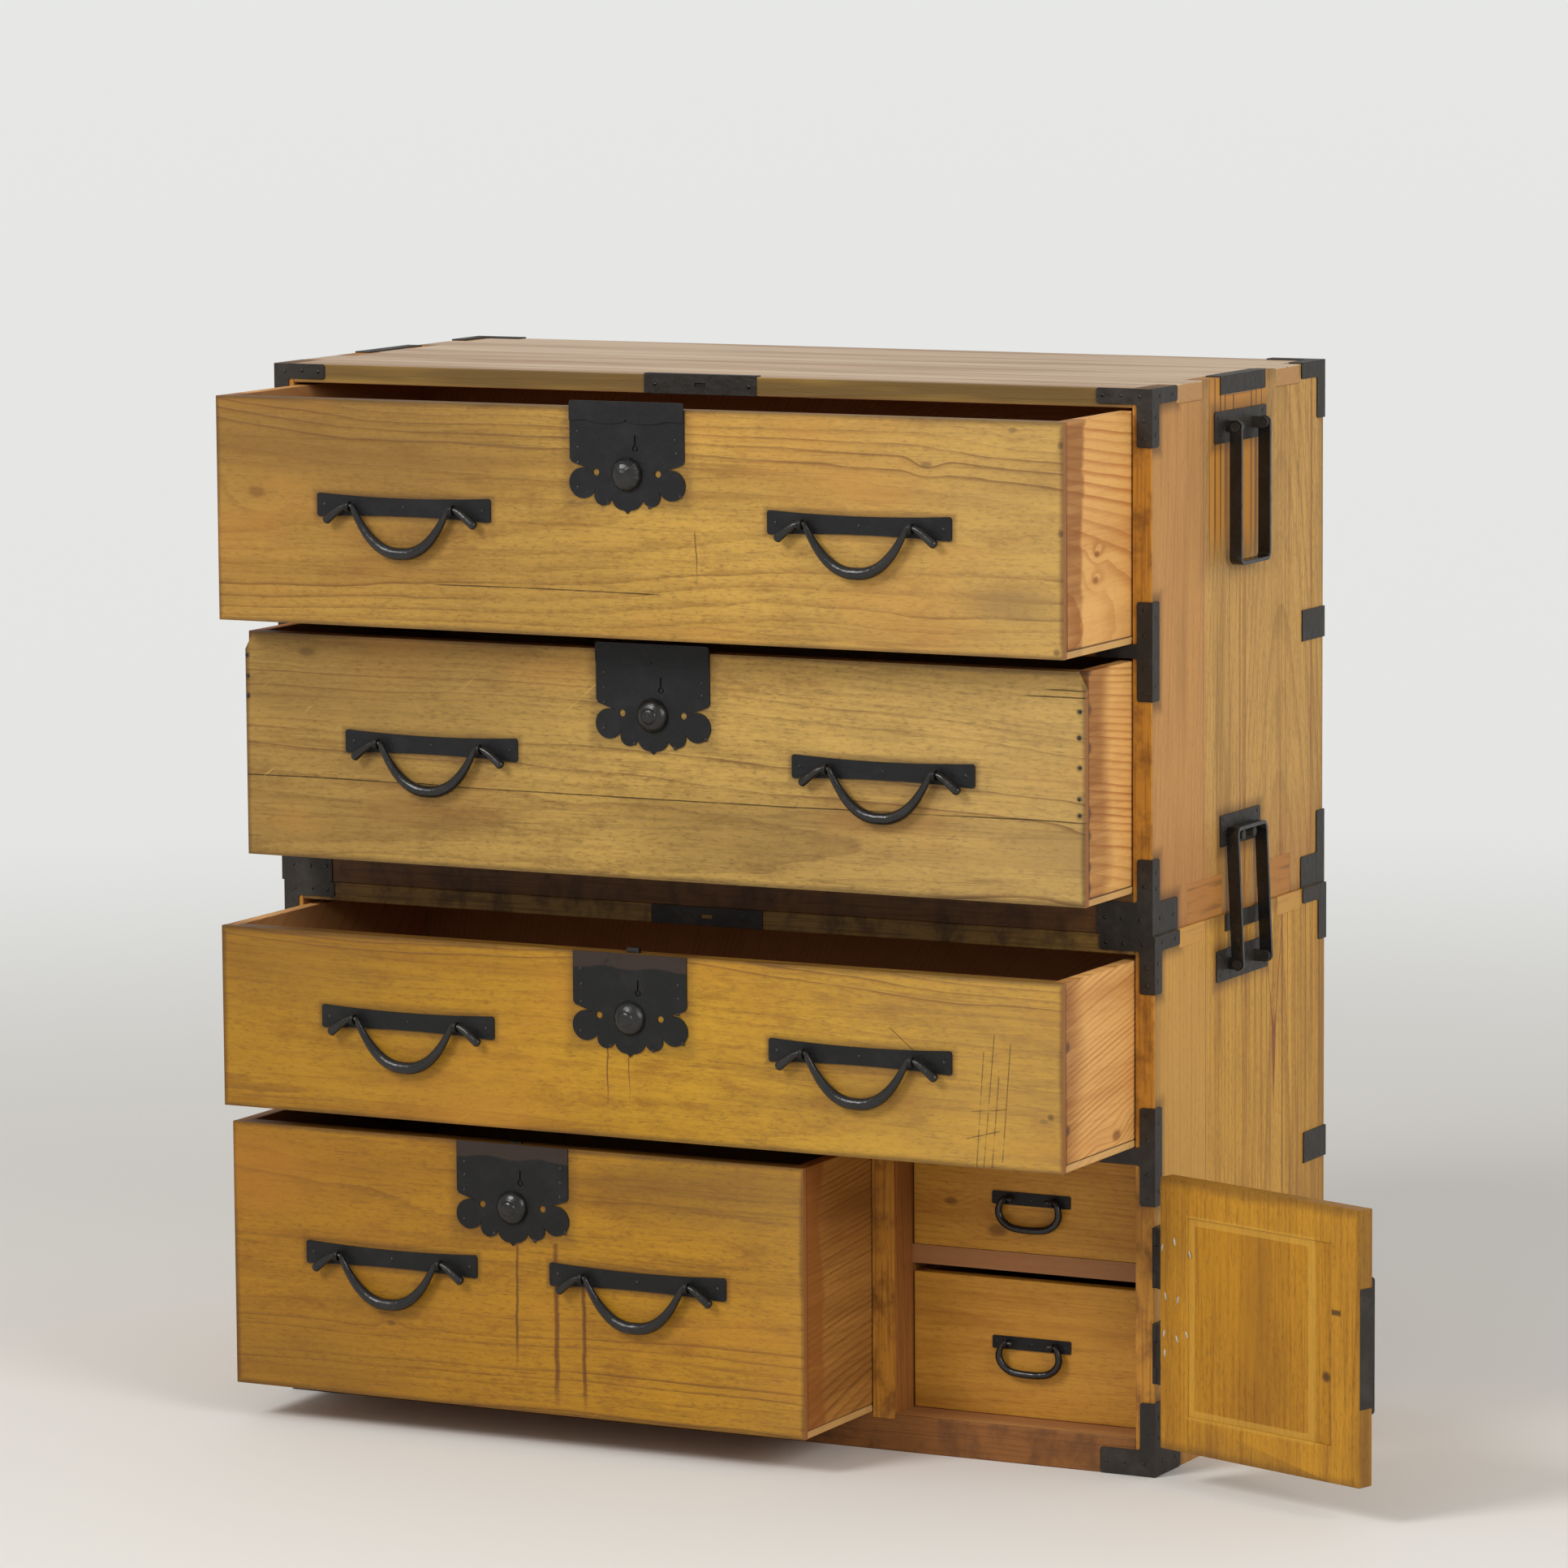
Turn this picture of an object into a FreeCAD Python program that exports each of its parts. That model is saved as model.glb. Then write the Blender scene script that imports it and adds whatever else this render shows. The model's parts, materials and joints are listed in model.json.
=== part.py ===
"""Clothes chest of two stacked boxes with six drawers, a cupboard door and forged iron fittings."""
import FreeCAD
import Part
import math
import os

Vector = FreeCAD.Vector

# Carcass sizes. All lengths are millimetres.
chest_width = 1030.0
chest_depth = 442.0
lower_height = 562.0
upper_height = 559.0
upper_offset = -2.5
side_thickness = 21.5
top_thickness = 20.0
lower_base = 39.0
upper_base = 42.5
lower_shelf = 17.5
upper_shelf = 14.0
back_thickness = 10.0
back_rabbet = 10.0
back_board_count = 4
back_board_gap = 0.4
shelf_housing = 6.0
finger_gap = 0.15
top_finger_count = 7
base_finger_count = 5
second_opening = 242.0
fourth_opening = 286.0
cupboard_bay = 276.5
partition_thickness = 25.0
partition_housing = 5.0
small_opening = 154.0
small_shelf = 20.0
small_setback = 44.0
overrun = 5.0

# Drawer boards and running gaps.
drawer_side_gap = 1.5
drawer_seat_gap = 0.3
first_top_gap = 3.2
second_top_gap = 3.0
third_top_gap = 6.0
fourth_top_gap = 2.0
small_top_gap = 8.8
drawer_rear_gap = 12.0
front_thickness = 20.0
drawer_side = 15.0
drawer_back = 12.0
drawer_bottom = 8.0
drawer_back_drop = 12.0
front_lap = 13.0
small_front_thickness = 16.0
small_drawer_side = 10.0
small_drawer_back = 9.0
small_drawer_bottom = 6.0
small_front_lap = 10.0
chip_width = 13.0
chip_height = 28.0
chip_depth = 7.0

# Lock on each wide drawer.
lock_plate_width = 133.0
lock_plate_drop = 108.0
iron_sheet = 1.5
sheet_corner = 3.0
small_sheet_corner = 1.6
lobe_radius = 15.8
small_lobe_radius = 10.4
lock_hole_radius = 3.7
knob_radius = 18.0
knob_height = 12.5
knob_drop = 67.0
knob_gap = 0.3
spindle_radius = 4.0
spindle_length = 16.0
spindle_clearance = 0.08
spindle_bore_clearance = 0.4
spindle_end_gap = 1.0
knob_sides = 12
keyhole_side = 10.0
keyhole_top = 27.0
keyhole_slot_width = 2.4
keyhole_ring_drop = 40.5
keyhole_ring_radius = 3.4
key_pin_radius = 1.9
cap_rise = 7.5
cap_drop = 15.5
bolt_width = 14.0
bolt_thickness = 5.0
bolt_length = 48.0
bolt_setback = 9.0
bolt_clearance = 0.4
bolt_under_gap = 0.6
bolt_throw = 8.0
strike_width = 132.0
strike_thickness = 1.2
strike_hole_width = 13.0
strike_hole_height = 4.0
strike_top_flange = 10.0

# Forged bails, their plates and eyes.
handle_rise = 8.0
wide_handle_spread = 265.0
narrow_handle_spread = 147.5
handle_plate_width = 208.0
handle_plate_end = 25.0
handle_plate_waist = 18.5
eye_half_spacing = 62.0
eye_standoff = 9.5
eye_outer_radius = 5.6
eye_hole_radius = 3.7
eye_width = 4.5
eye_shank_radius = 2.6
bail_radius = 6.5
bail_drop = 48.0
bail_lean = 1.6
bail_straight = 1.3
curl_reach = 26.0
curl_drop = 15.0
bail_sides = 8
small_plate_width = 90.0
small_plate_height = 13.6
small_handle_rise = 5.5
small_eye_half_spacing = 26.5
small_eye_standoff = 8.0
small_eye_outer_radius = 4.4
small_eye_hole_radius = 3.0
small_eye_width = 3.4
small_eye_shank_radius = 2.0
small_bail_radius = 4.0
small_bail_drop = 31.0
small_bail_bulge = 7.8
small_bail_tail = 4.5

# Carrying handles on the sides.
side_plate_width = 132.0
side_plate_height = 33.0
upper_pivot_drop = 51.5
lower_pivot_drop = 53.0
pivot_standoff = 12.5
side_handle_width = 77.5
side_handle_length = 143.5
side_bar_width = 13.5
side_bar_thickness = 4.0
side_bend_radius = 9.0
pivot_pin_radius = 3.0
pivot_clearance = 0.08
pivot_head_radius = 5.0
pivot_head_length = 2.5
pivot_side_gap = 0.4
lug_height = 12.0
lug_thickness = 5.0
catch_plate_width = 102.0
catch_plate_height = 33.0
catch_drop = 5.0
stud_radius = 5.0
stud_length = 10.0
stud_half_spacing = 14.0
stud_gap = 1.0
raised_gap = 0.3

# Corner straps, tees and edge plates.
strap_arm = 61.0
strap_top_height = 16.0
strap_leg_width = 16.0
strap_leg_drop = 60.0
upper_foot_height = 34.0
upper_foot_leg = 79.0
lower_foot_height = 27.0
lower_foot_leg = 77.0
tee_height = 102.0
strap_floor_gap = 0.6
upper_edge_plate = 115.0
lower_edge_plate = 100.0
edge_plate_height = 18.0
edge_plate_shift = 6.5
rear_leg_width = 19.0
rear_leg_drop = 58.0
top_flange = 16.0
mid_plate_width = 58.0
mid_plate_height = 33.0
mid_plate_wrap = 16.0
upper_mid_plate_rise = 281.0
lower_mid_plate_rise = 282.0

# Cupboard door, its hinges and its lock.
door_thickness = 18.0
door_hinge_gap = 1.5
door_free_gap = 3.0
door_base_gap = 1.5
door_top_gap = 3.0
door_border = 38.0
door_panel_thickness = 8.0
door_groove = 7.0
door_panel_recess = 1.5
door_panel_gap = 0.2
door_open_angle = 161.0
door_shut_limit = -161.0
hinge_radius = 4.0
hinge_pin_radius = 2.0
hinge_pin_clearance = 0.08
hinge_axis_forward = 4.5
hinge_height = 62.0
hinge_knuckle = 18.0
hinge_knuckle_gap = 0.3
hinge_lift = 0.3
hinge_low_height = 100.0
hinge_high_height = 200.0
hinge_carcass_leaf = 38.0
hinge_door_leaf = 54.0
lock_case_width = 62.0
lock_case_height = 140.0
lock_case_depth = 10.0
lock_case_edge = 4.0
lock_case_inset = 3.0
edge_plate_length = 122.0
edge_plate_sheet = 1.0

# How far each piece stands open in the stored pose.
first_open = 161.0
second_open = 110.0
third_open = 171.0
fourth_open = 155.0

# Shares that shape the curved outlines.
lobe_x_share = 0.775
lobe_z_share = 0.7175
small_lobe_x_share = 0.42
small_lobe_z_share = 0.83
lock_hole_x_share = 0.54
lock_hole_z_share = 0.61
lock_body_shares = (
    (1.0, 0.0),
    (1.0, 0.485),
    (0.965, 0.52),
    (0.67, 0.58),
    (0.67, 0.73),
    (0.42, 0.83),
    (0.27, 0.84),
)
ogee_bulge_shares = (0.20, 0.935)
ogee_neck_shares = (0.055, 0.965)
cap_scallop_shares = ((1.0, 0.84), (0.70, 0.78), (0.36, 1.0), (0.03, 0.85))
cap_peak_share = 0.68
faceted_knob_shares = (
    (1.0, 0.0),
    (0.985, 0.16),
    (0.92, 0.36),
    (0.80, 0.57),
    (0.62, 0.77),
    (0.40, 0.91),
    (0.16, 0.99),
)
stepped_knob_shares = (
    (1.0, 0.0),
    (0.98, 0.15),
    (0.91, 0.34),
    (0.78, 0.53),
    (0.62, 0.67),
    (0.47, 0.75),
    (0.43, 0.84),
    (0.31, 0.95),
    (0.0, 1.02),
)
bail_half_shares = (
    (0.0, 1.0, 1.0),
    (0.20, 0.975, 0.98),
    (0.42, 0.85, 0.90),
    (0.62, 0.62, 0.78),
    (0.78, 0.34, 0.62),
    (0.89, 0.09, 0.50),
)
bail_eye_share = 0.47
curl_shares = ((0.32, 0.22, 0.56), (0.66, 0.60, 0.66), (1.0, 1.0, 0.70))
small_bail_shares = (
    (0.0, 1.0, 1.0),
    (0.30, 0.99, 1.0),
    (0.62, 0.93, 1.0),
    (0.88, 0.74, 1.0),
    (1.0, 0.48, 0.98),
    (0.97, 0.20, 0.86),
)
small_bail_eye_share = 0.62

# Places worked out from the sizes above.
half_width = chest_width / 2
inner_half = half_width - side_thickness
front_y = -chest_depth / 2
back_y = chest_depth / 2
panel_y = back_y - back_thickness
chest_height = lower_height + upper_height
lower_shelf_low = lower_base + fourth_opening
lower_shelf_top = lower_shelf_low + lower_shelf
lower_ceiling = lower_height - top_thickness
upper_base_top = lower_height + upper_base
upper_shelf_low = upper_base_top + second_opening
upper_shelf_top = upper_shelf_low + upper_shelf
upper_ceiling = chest_height - top_thickness
partition_right = inner_half - cupboard_bay
partition_left = partition_right - partition_thickness
small_shelf_low = lower_base + small_opening
small_shelf_top = small_shelf_low + small_shelf
upper_pivot_z = chest_height - upper_pivot_drop
lower_pivot_z = lower_height - lower_pivot_drop
door_left = partition_right + door_free_gap
door_right = inner_half - door_hinge_gap
door_low = lower_base + door_base_gap
door_high = lower_shelf_low - door_top_gap
hinge_x = half_width + hinge_radius
hinge_y = front_y - hinge_axis_forward

X_AXIS = Vector(1, 0, 0)
Y_AXIS = Vector(0, 1, 0)
Z_AXIS = Vector(0, 0, 1)


def block(x0, x1, y0, y1, z0, z1):
    """A board between three pairs of limits, in either order."""
    corner = Vector(min(x0, x1), min(y0, y1), min(z0, z1))
    return Part.makeBox(abs(x1 - x0), abs(y1 - y0), abs(z1 - z0), corner)


def rod(radius, start, end):
    """A round bar from one point to another."""
    return Part.makeCylinder(radius, (end - start).Length, start, end - start)


def fuse(shapes):
    """One solid from shapes that touch."""
    return shapes[0].multiFuse(shapes[1:]).removeSplitter()


def mirrored_y(shape):
    """The same piece on the other side of the middle of the depth."""
    return shape.mirror(Vector(0, 0, 0), Y_AXIS)


def save(node, shape):
    """Write one piece, or a group of loose solids, as a STEP file."""
    solids = shape.Solids
    whole = solids[0] if len(solids) == 1 else Part.makeCompound(solids)
    whole.exportStep("parts/" + node + ".step")
    print(node, len(solids), round(whole.Volume))


def spans(count, low, high, odd):
    """Every second one of the equal divisions between two limits."""
    step = (high - low) / count
    first = 1 if odd else 0
    return [(low + step * i, low + step * (i + 1)) for i in range(first, count, 2)]


# Carcass boards with finger joints.
def end_board(centre, low, high, count, rabbet_above):
    """A top board or base plank, whose fingers pass through both sides."""
    body = block(centre - inner_half, centre + inner_half, front_y, back_y, low, high)
    fingers = []
    for y0, y1 in spans(count, front_y, back_y, True):
        y_low = y0 + finger_gap
        y_high = y1 - finger_gap
        fingers.append(block(centre - half_width, centre + half_width, y_low, y_high, low, high))
    board = fuse([body] + fingers)
    edge = high - back_rabbet if rabbet_above else low
    notch = block(
        centre - inner_half - back_rabbet, centre + inner_half + back_rabbet,
        panel_y, back_y + overrun, edge, edge + back_rabbet)
    return board.cut(notch)


def side_board(centre, sign, low, high, base, shelf_low, shelf_top):
    """A side, open at both ends for the fingers and housed for the shelf."""
    inner = centre + sign * inner_half
    outer = centre + sign * half_width
    x0 = min(inner, outer)
    x1 = max(inner, outer)
    side = block(x0, x1, front_y, back_y, low, high)
    cuts = []
    for y0, y1 in spans(top_finger_count, front_y, back_y, True):
        cuts.append(block(x0 - overrun, x1 + overrun, y0, y1, high - top_thickness, high + overrun))
    for y0, y1 in spans(base_finger_count, front_y, back_y, True):
        cuts.append(block(x0 - overrun, x1 + overrun, y0, y1, low - overrun, low + base))
    housing = sorted((inner - sign * overrun, inner + sign * shelf_housing))
    cuts.append(block(housing[0], housing[1], front_y - overrun, panel_y, shelf_low, shelf_top))
    rabbet = sorted((inner - sign * overrun, inner + sign * back_rabbet))
    z0 = low + base - back_rabbet
    z1 = high - top_thickness + back_rabbet
    cuts.append(block(rabbet[0], rabbet[1], panel_y, back_y + overrun, z0, z1))
    return side.cut(Part.makeCompound(cuts))


def back_boards(centre, low, high):
    """Horizontal boards nailed into the rabbet behind the box."""
    step = (high - low) / back_board_count
    reach = inner_half + back_rabbet
    boards = []
    for i in range(back_board_count):
        z0 = low + step * i + back_board_gap / 2
        z1 = low + step * (i + 1) - back_board_gap / 2
        boards.append(block(centre - reach, centre + reach, panel_y, back_y, z0, z1))
    return Part.makeCompound(boards)


def bolt_mortise(x, under):
    """The pocket above a drawer that its lock bolt rises into."""
    y = front_y + bolt_setback
    half = bolt_width / 2 + 2 * bolt_clearance
    deep = bolt_thickness / 2 + 2 * bolt_clearance
    return block(x - half, x + half, y - deep, y + deep, under - overrun, under + bolt_throw + bolt_clearance)


def shelf_board(centre, low, high):
    """The rail and dust board between two drawers, in one piece."""
    reach = inner_half + shelf_housing
    return block(centre - reach, centre + reach, front_y, panel_y, low, high)


# Drawers.
class Drawer:
    """Places of one drawer, in the stored pose."""

    def __init__(self, name, left, right, floor, ceiling, top_gap, opened, small):
        self.name = name
        self.left = left + drawer_side_gap
        self.right = right - drawer_side_gap
        self.low = floor + drawer_seat_gap
        self.high = ceiling - top_gap
        self.ceiling = ceiling
        self.face = front_y - opened + (small_setback if small else 0)
        self.rear = panel_y - drawer_rear_gap - opened
        self.front = small_front_thickness if small else front_thickness
        self.side = small_drawer_side if small else drawer_side
        self.back = small_drawer_back if small else drawer_back
        self.bottom = small_drawer_bottom if small else drawer_bottom
        self.lap = small_front_lap if small else front_lap
        self.middle = (left + right) / 2
        self.opened = opened
        self.small = small

    def front_board(self, chipped):
        """The front, with a rabbet for sides and bottom, its lock slot and spindle bore."""
        behind = self.face + self.front
        board = block(self.left, self.right, self.face, behind, self.low, self.high)
        y0 = behind - self.lap
        y1 = behind + overrun
        z0 = self.low + self.bottom
        z1 = self.high + overrun
        cuts = [
            block(self.left - overrun, self.left + self.side, y0, y1, z0, z1),
            block(self.right - self.side, self.right + overrun, y0, y1, z0, z1),
            block(self.left - overrun, self.right + overrun, y0, y1, self.low - overrun, z0)]
        if not self.small:
            y = self.face + bolt_setback
            half = bolt_width / 2 + bolt_clearance
            deep = bolt_thickness / 2 + bolt_clearance
            slot_floor = self.bolt_top() - bolt_length
            cuts.append(block(
                self.middle - half, self.middle + half, y - deep, y + deep, slot_floor, self.high + overrun))
            bore_end = self.face - iron_sheet - knob_gap + spindle_length + spindle_end_gap
            knob_z = self.high - knob_drop
            cuts.append(rod(
                spindle_radius + spindle_bore_clearance,
                Vector(self.middle, self.face - overrun, knob_z), Vector(self.middle, bore_end, knob_z)))
        board = board.cut(Part.makeCompound(cuts))
        if chipped:
            board = board.cut(self.corner_chip(self.left, 1)).cut(self.corner_chip(self.right, -1))
        return board

    def corner_chip(self, x, sign):
        """A splinter gone from an upper corner of the face."""
        tip = Vector(x, self.face, self.high)
        over = overrun * sign
        points = [
            tip + Vector(-over, -overrun, overrun),
            tip + Vector(sign * chip_width, -overrun, overrun),
            tip + Vector(-over, -overrun, -chip_height)]
        wire = Part.makePolygon(points + points[:1])
        return Part.Face(wire).extrude(Vector(0, overrun + chip_depth, 0))

    def tray(self):
        """Two sides, a back and a bottom, as loose boards that lie in the rabbet of the front."""
        start = self.face + self.front - self.lap
        z0 = self.low + self.bottom
        left = block(self.left, self.left + self.side, start, self.rear, z0, self.high)
        right = block(self.right - self.side, self.right, start, self.rear, z0, self.high)
        back = block(
            self.left + self.side, self.right - self.side, self.rear - self.back, self.rear,
            z0, self.high - drawer_back_drop)
        bottom = block(self.left, self.right, start, self.rear, self.low, z0)
        return Part.makeCompound([left, right, back, bottom])

    def bolt_top(self):
        """Height of the drawn-back bolt, just short of the board above."""
        return self.ceiling - bolt_under_gap

    def handle_height(self):
        """Height of the eyes of this drawer's bails."""
        rise = small_handle_rise if self.small else handle_rise
        return (self.low + self.high) / 2 + rise


# Flat iron sheet work on a drawer face. Outlines are drawn at the origin, facing -Y.
def sheet(points, thickness):
    """A flat plate from an outline of points across the face."""
    wire = Part.makePolygon(points + points[:1])
    return Part.Face(wire).extrude(Vector(0, -thickness, 0))


def outline_plate(edges, thickness):
    """A flat plate from edges that close on themselves."""
    return Part.Face(Part.Wire(Part.sortEdges(edges)[0])).extrude(Vector(0, -thickness, 0))


def rounded(shape, radius, low=None):
    """The same sheet with the short edges at its corners rounded, or only those above a height."""
    edges = []
    for edge in shape.Edges:
        short = abs(edge.Length - iron_sheet) < iron_sheet / 100
        if short and (low is None or edge.CenterOfMass.z > low):
            edges.append(edge)
    return shape.makeFillet(radius, edges)


def line(a, b):
    return Part.LineSegment(a, b).toShape()


def arc(a, through, b):
    return Part.Arc(a, through, b).toShape()


def lock_plate():
    """The lobed plate with its ogee tip, keyhole and two round holes."""
    half = lock_plate_width / 2
    right = [Vector(half * x, 0, -lock_plate_drop * z) for x, z in lock_body_shares]
    left = [Vector(-p.x, 0, p.z) for p in reversed(right)]
    plate = [sheet(right + left, iron_sheet)]
    for sign in (-1, 1):
        lobes = (
            (lobe_x_share, lobe_z_share, lobe_radius),
            (small_lobe_x_share, small_lobe_z_share, small_lobe_radius))
        for x, z, radius in lobes:
            centre = Vector(sign * half * x, 0, -lock_plate_drop * z)
            plate.append(rod(radius, centre, centre + Vector(0, -iron_sheet, 0)))
    shoulder = right[-1]
    bulge = Vector(half * ogee_bulge_shares[0], 0, -lock_plate_drop * ogee_bulge_shares[1])
    neck = Vector(half * ogee_neck_shares[0], 0, -lock_plate_drop * ogee_neck_shares[1])
    tip = Vector(0, 0, -lock_plate_drop)
    flip = [Vector(-p.x, 0, p.z) for p in (shoulder, bulge, neck)]
    plate.append(outline_plate([
        arc(shoulder, bulge, neck), line(neck, tip), line(tip, flip[2]),
        arc(flip[2], flip[1], flip[0]), line(flip[0], shoulder)], iron_sheet))
    body = fuse(plate)
    holes = []
    for sign in (-1, 1):
        centre = Vector(sign * half * lock_hole_x_share, overrun, -lock_plate_drop * lock_hole_z_share)
        holes.append(rod(lock_hole_radius, centre, centre + Vector(0, -2 * overrun, 0)))
    centre = Vector(0, overrun, -knob_drop)
    holes.append(rod(spindle_radius + spindle_clearance, centre, centre + Vector(0, -2 * overrun, 0)))
    centre = Vector(keyhole_side, overrun, -keyhole_ring_drop)
    holes.append(rod(keyhole_ring_radius, centre, centre + Vector(0, -2 * overrun, 0)))
    holes.append(block(
        keyhole_side - keyhole_slot_width / 2, keyhole_side + keyhole_slot_width / 2,
        -overrun, overrun, -keyhole_ring_drop, -keyhole_top))
    return body.cut(Part.makeCompound(holes))


def key_pin():
    """The fixed pin in the keyhole that a hollow key slides over."""
    centre = Vector(keyhole_side, 0, -keyhole_ring_drop)
    return rod(key_pin_radius, centre, centre + Vector(0, -iron_sheet, 0))


def lock_cap():
    """The upper plate with a scalloped edge that stands above the drawer front."""
    half = lock_plate_width / 2
    end, dip_start, dip, dip_end = [Vector(half * x, 0, -cap_drop * z) for x, z in cap_scallop_shares]
    peak = Vector(0, 0, -cap_drop * cap_peak_share)
    top = Vector(half, 0, cap_rise)
    flip = [Vector(-p.x, 0, p.z) for p in (end, dip_start, dip, dip_end, top)]
    edges = [
        line(flip[4], top), line(top, end), line(end, dip_start), arc(dip_start, dip, dip_end),
        line(dip_end, peak), line(peak, flip[3]), arc(flip[3], flip[2], flip[1]),
        line(flip[1], flip[0]), line(flip[0], flip[4])]
    plate = rounded(outline_plate(edges, iron_sheet), sheet_corner, 0)
    plate.translate(Vector(0, -iron_sheet, 0))
    return plate


def with_spindle(dome, back):
    """The dome of a lock knob on the round bar that turns in the drawer front."""
    base = Vector(0, back, -knob_drop)
    return fuse([dome, rod(spindle_radius, base, base + Vector(0, spindle_length, 0))])


def faceted_knob():
    """A lock knob forged to flat faces."""
    back = -iron_sheet - knob_gap
    sections = []
    for r_share, h_share in faceted_knob_shares:
        y = back - knob_height * h_share
        points = []
        for i in range(knob_sides):
            angle = 2 * math.pi * (i + 0.5) / knob_sides
            radius = knob_radius * r_share
            points.append(Vector(radius * math.cos(angle), y, -knob_drop + radius * math.sin(angle)))
        sections.append(Part.makePolygon(points + points[:1]))
    return with_spindle(Part.makeLoft(sections, True, True), back)


def stepped_knob():
    """A round lock knob with a small dome on a wide one."""
    back = -iron_sheet - knob_gap
    centre = Vector(0, back, -knob_drop)
    points = [centre + Vector(knob_radius * r, -knob_height * h, 0) for r, h in stepped_knob_shares]
    wire = Part.makePolygon([centre] + points + [centre])
    return with_spindle(Part.Face(wire).revolve(centre, Y_AXIS, 360), back)


def bolt(drawer):
    """The flat bolt in the slot of the drawer front, drawn back."""
    y = drawer.face + bolt_setback
    top = drawer.bolt_top()
    return block(
        drawer.middle - bolt_width / 2, drawer.middle + bolt_width / 2,
        y - bolt_thickness / 2, y + bolt_thickness / 2, top - bolt_length, top)


def eye(x, standoff, outer, hole, width, shank):
    """A ring on a short shank, with its hole across the chest."""
    centre = Vector(x - width / 2, -standoff, 0)
    ring = rod(outer, centre, centre + Vector(width, 0, 0))
    stem = rod(shank, Vector(x, 0, 0), Vector(x, -standoff, 0))
    bore = rod(hole, centre - Vector(overrun, 0, 0), centre + Vector(width + overrun, 0, 0))
    return fuse([ring, stem]).cut(bore)


def handle_plate():
    """A waisted plate with two eyes."""
    half = handle_plate_width / 2
    end = handle_plate_end / 2
    waist = handle_plate_waist / 2
    plate = outline_plate([
        arc(Vector(-half, 0, end), Vector(0, 0, waist), Vector(half, 0, end)),
        line(Vector(half, 0, end), Vector(half, 0, -end)),
        arc(Vector(half, 0, -end), Vector(0, 0, -waist), Vector(-half, 0, -end)),
        line(Vector(-half, 0, -end), Vector(-half, 0, end))], iron_sheet)
    plate = rounded(plate, sheet_corner)
    eyes = [
        eye(sign * eye_half_spacing, eye_standoff, eye_outer_radius, eye_hole_radius, eye_width, eye_shank_radius)
        for sign in (-1, 1)]
    return fuse([plate] + eyes)


def small_handle_plate():
    """A plain straight plate with two small eyes."""
    half = small_plate_width / 2
    high = small_plate_height / 2
    plate = rounded(block(-half, half, -iron_sheet, 0, -high, high), small_sheet_corner)
    eyes = [
        eye(sign * small_eye_half_spacing, small_eye_standoff, small_eye_outer_radius,
            small_eye_hole_radius, small_eye_width, small_eye_shank_radius)
        for sign in (-1, 1)]
    return fuse([plate] + eyes)


def forged_bar(stations):
    """A bar with flat-sided sections through (x, y, z, radius, along) stations."""
    rings = []
    for point, radius, along in stations:
        across = along.cross(Y_AXIS).normalize()
        ring = []
        for i in range(bail_sides):
            angle = 2 * math.pi * (i + 0.5) / bail_sides
            ring.append(point + across * (radius * math.cos(angle)) + Y_AXIS * (radius * math.sin(angle)))
        rings.append(Part.makePolygon(ring + ring[:1]))
    return Part.makeLoft(rings, True, True)


def with_tangents(points):
    """Stations from (point, radius, straight) rows, turned along the run of the points."""
    stations = []
    last = len(points) - 1
    for i, (point, radius, straight) in enumerate(points):
        ahead = points[min(i + 1, last)][0] - points[max(i - 1, 0)][0]
        along = X_AXIS if straight else Vector(ahead.x, 0, ahead.z)
        stations.append((point, radius, along))
    return stations


def bail():
    """A wide bail, thick in the middle, thin in its eyes and curled outwards at its ends."""
    half = []
    for x, z, r in bail_half_shares:
        lean = bail_lean * z
        half.append((Vector(eye_half_spacing * x, lean - eye_standoff, -bail_drop * z), bail_radius * r, False))
    reach = eye_width / 2 + bail_straight
    for sign in (-1, 1):
        place = Vector(eye_half_spacing + sign * reach, -eye_standoff, 0)
        half.append((place, bail_radius * bail_eye_share, True))
    for x, z, r in curl_shares:
        place = Vector(eye_half_spacing + reach + curl_reach * x - reach * x, -eye_standoff, -curl_drop * z)
        half.append((place, bail_radius * r, False))
    other = [(Vector(-p.x, p.y, p.z), r, s) for p, r, s in reversed(half[1:])]
    return forged_bar(with_tangents(other + half))


def small_bail():
    """A small D-shaped bail, whose ends turn in through the eyes."""
    half = []
    reach = small_eye_half_spacing + small_bail_bulge
    for x, z, r in small_bail_shares:
        half.append((Vector(reach * x, -small_eye_standoff, -small_bail_drop * z), small_bail_radius * r, False))
    outer = small_eye_half_spacing + small_eye_width / 2 + bail_straight
    inner = small_eye_half_spacing - small_eye_width / 2 - small_bail_tail
    radius = small_bail_radius * small_bail_eye_share
    rows = [(Vector(-p.x, p.y, p.z), r, s) for p, r, s in reversed(half[1:])] + half
    start = [(Vector(-inner, -small_eye_standoff, 0), radius, True), (Vector(-outer, -small_eye_standoff, 0), radius, True)]
    end = [(Vector(outer, -small_eye_standoff, 0), radius, True), (Vector(inner, -small_eye_standoff, 0), radius, True)]
    stations = with_tangents(start + rows + end)
    turned = []
    for i, (point, r, along) in enumerate(stations):
        back = i < len(start) or i >= len(stations) - len(end)
        turned.append((point, r, along * -1 if back else along))
    return forged_bar(turned)


def placed(shape, x, y, z):
    """A copy of a piece drawn at the origin, moved to its place."""
    copy = shape.copy()
    copy.translate(Vector(x, y, z))
    return copy


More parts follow.
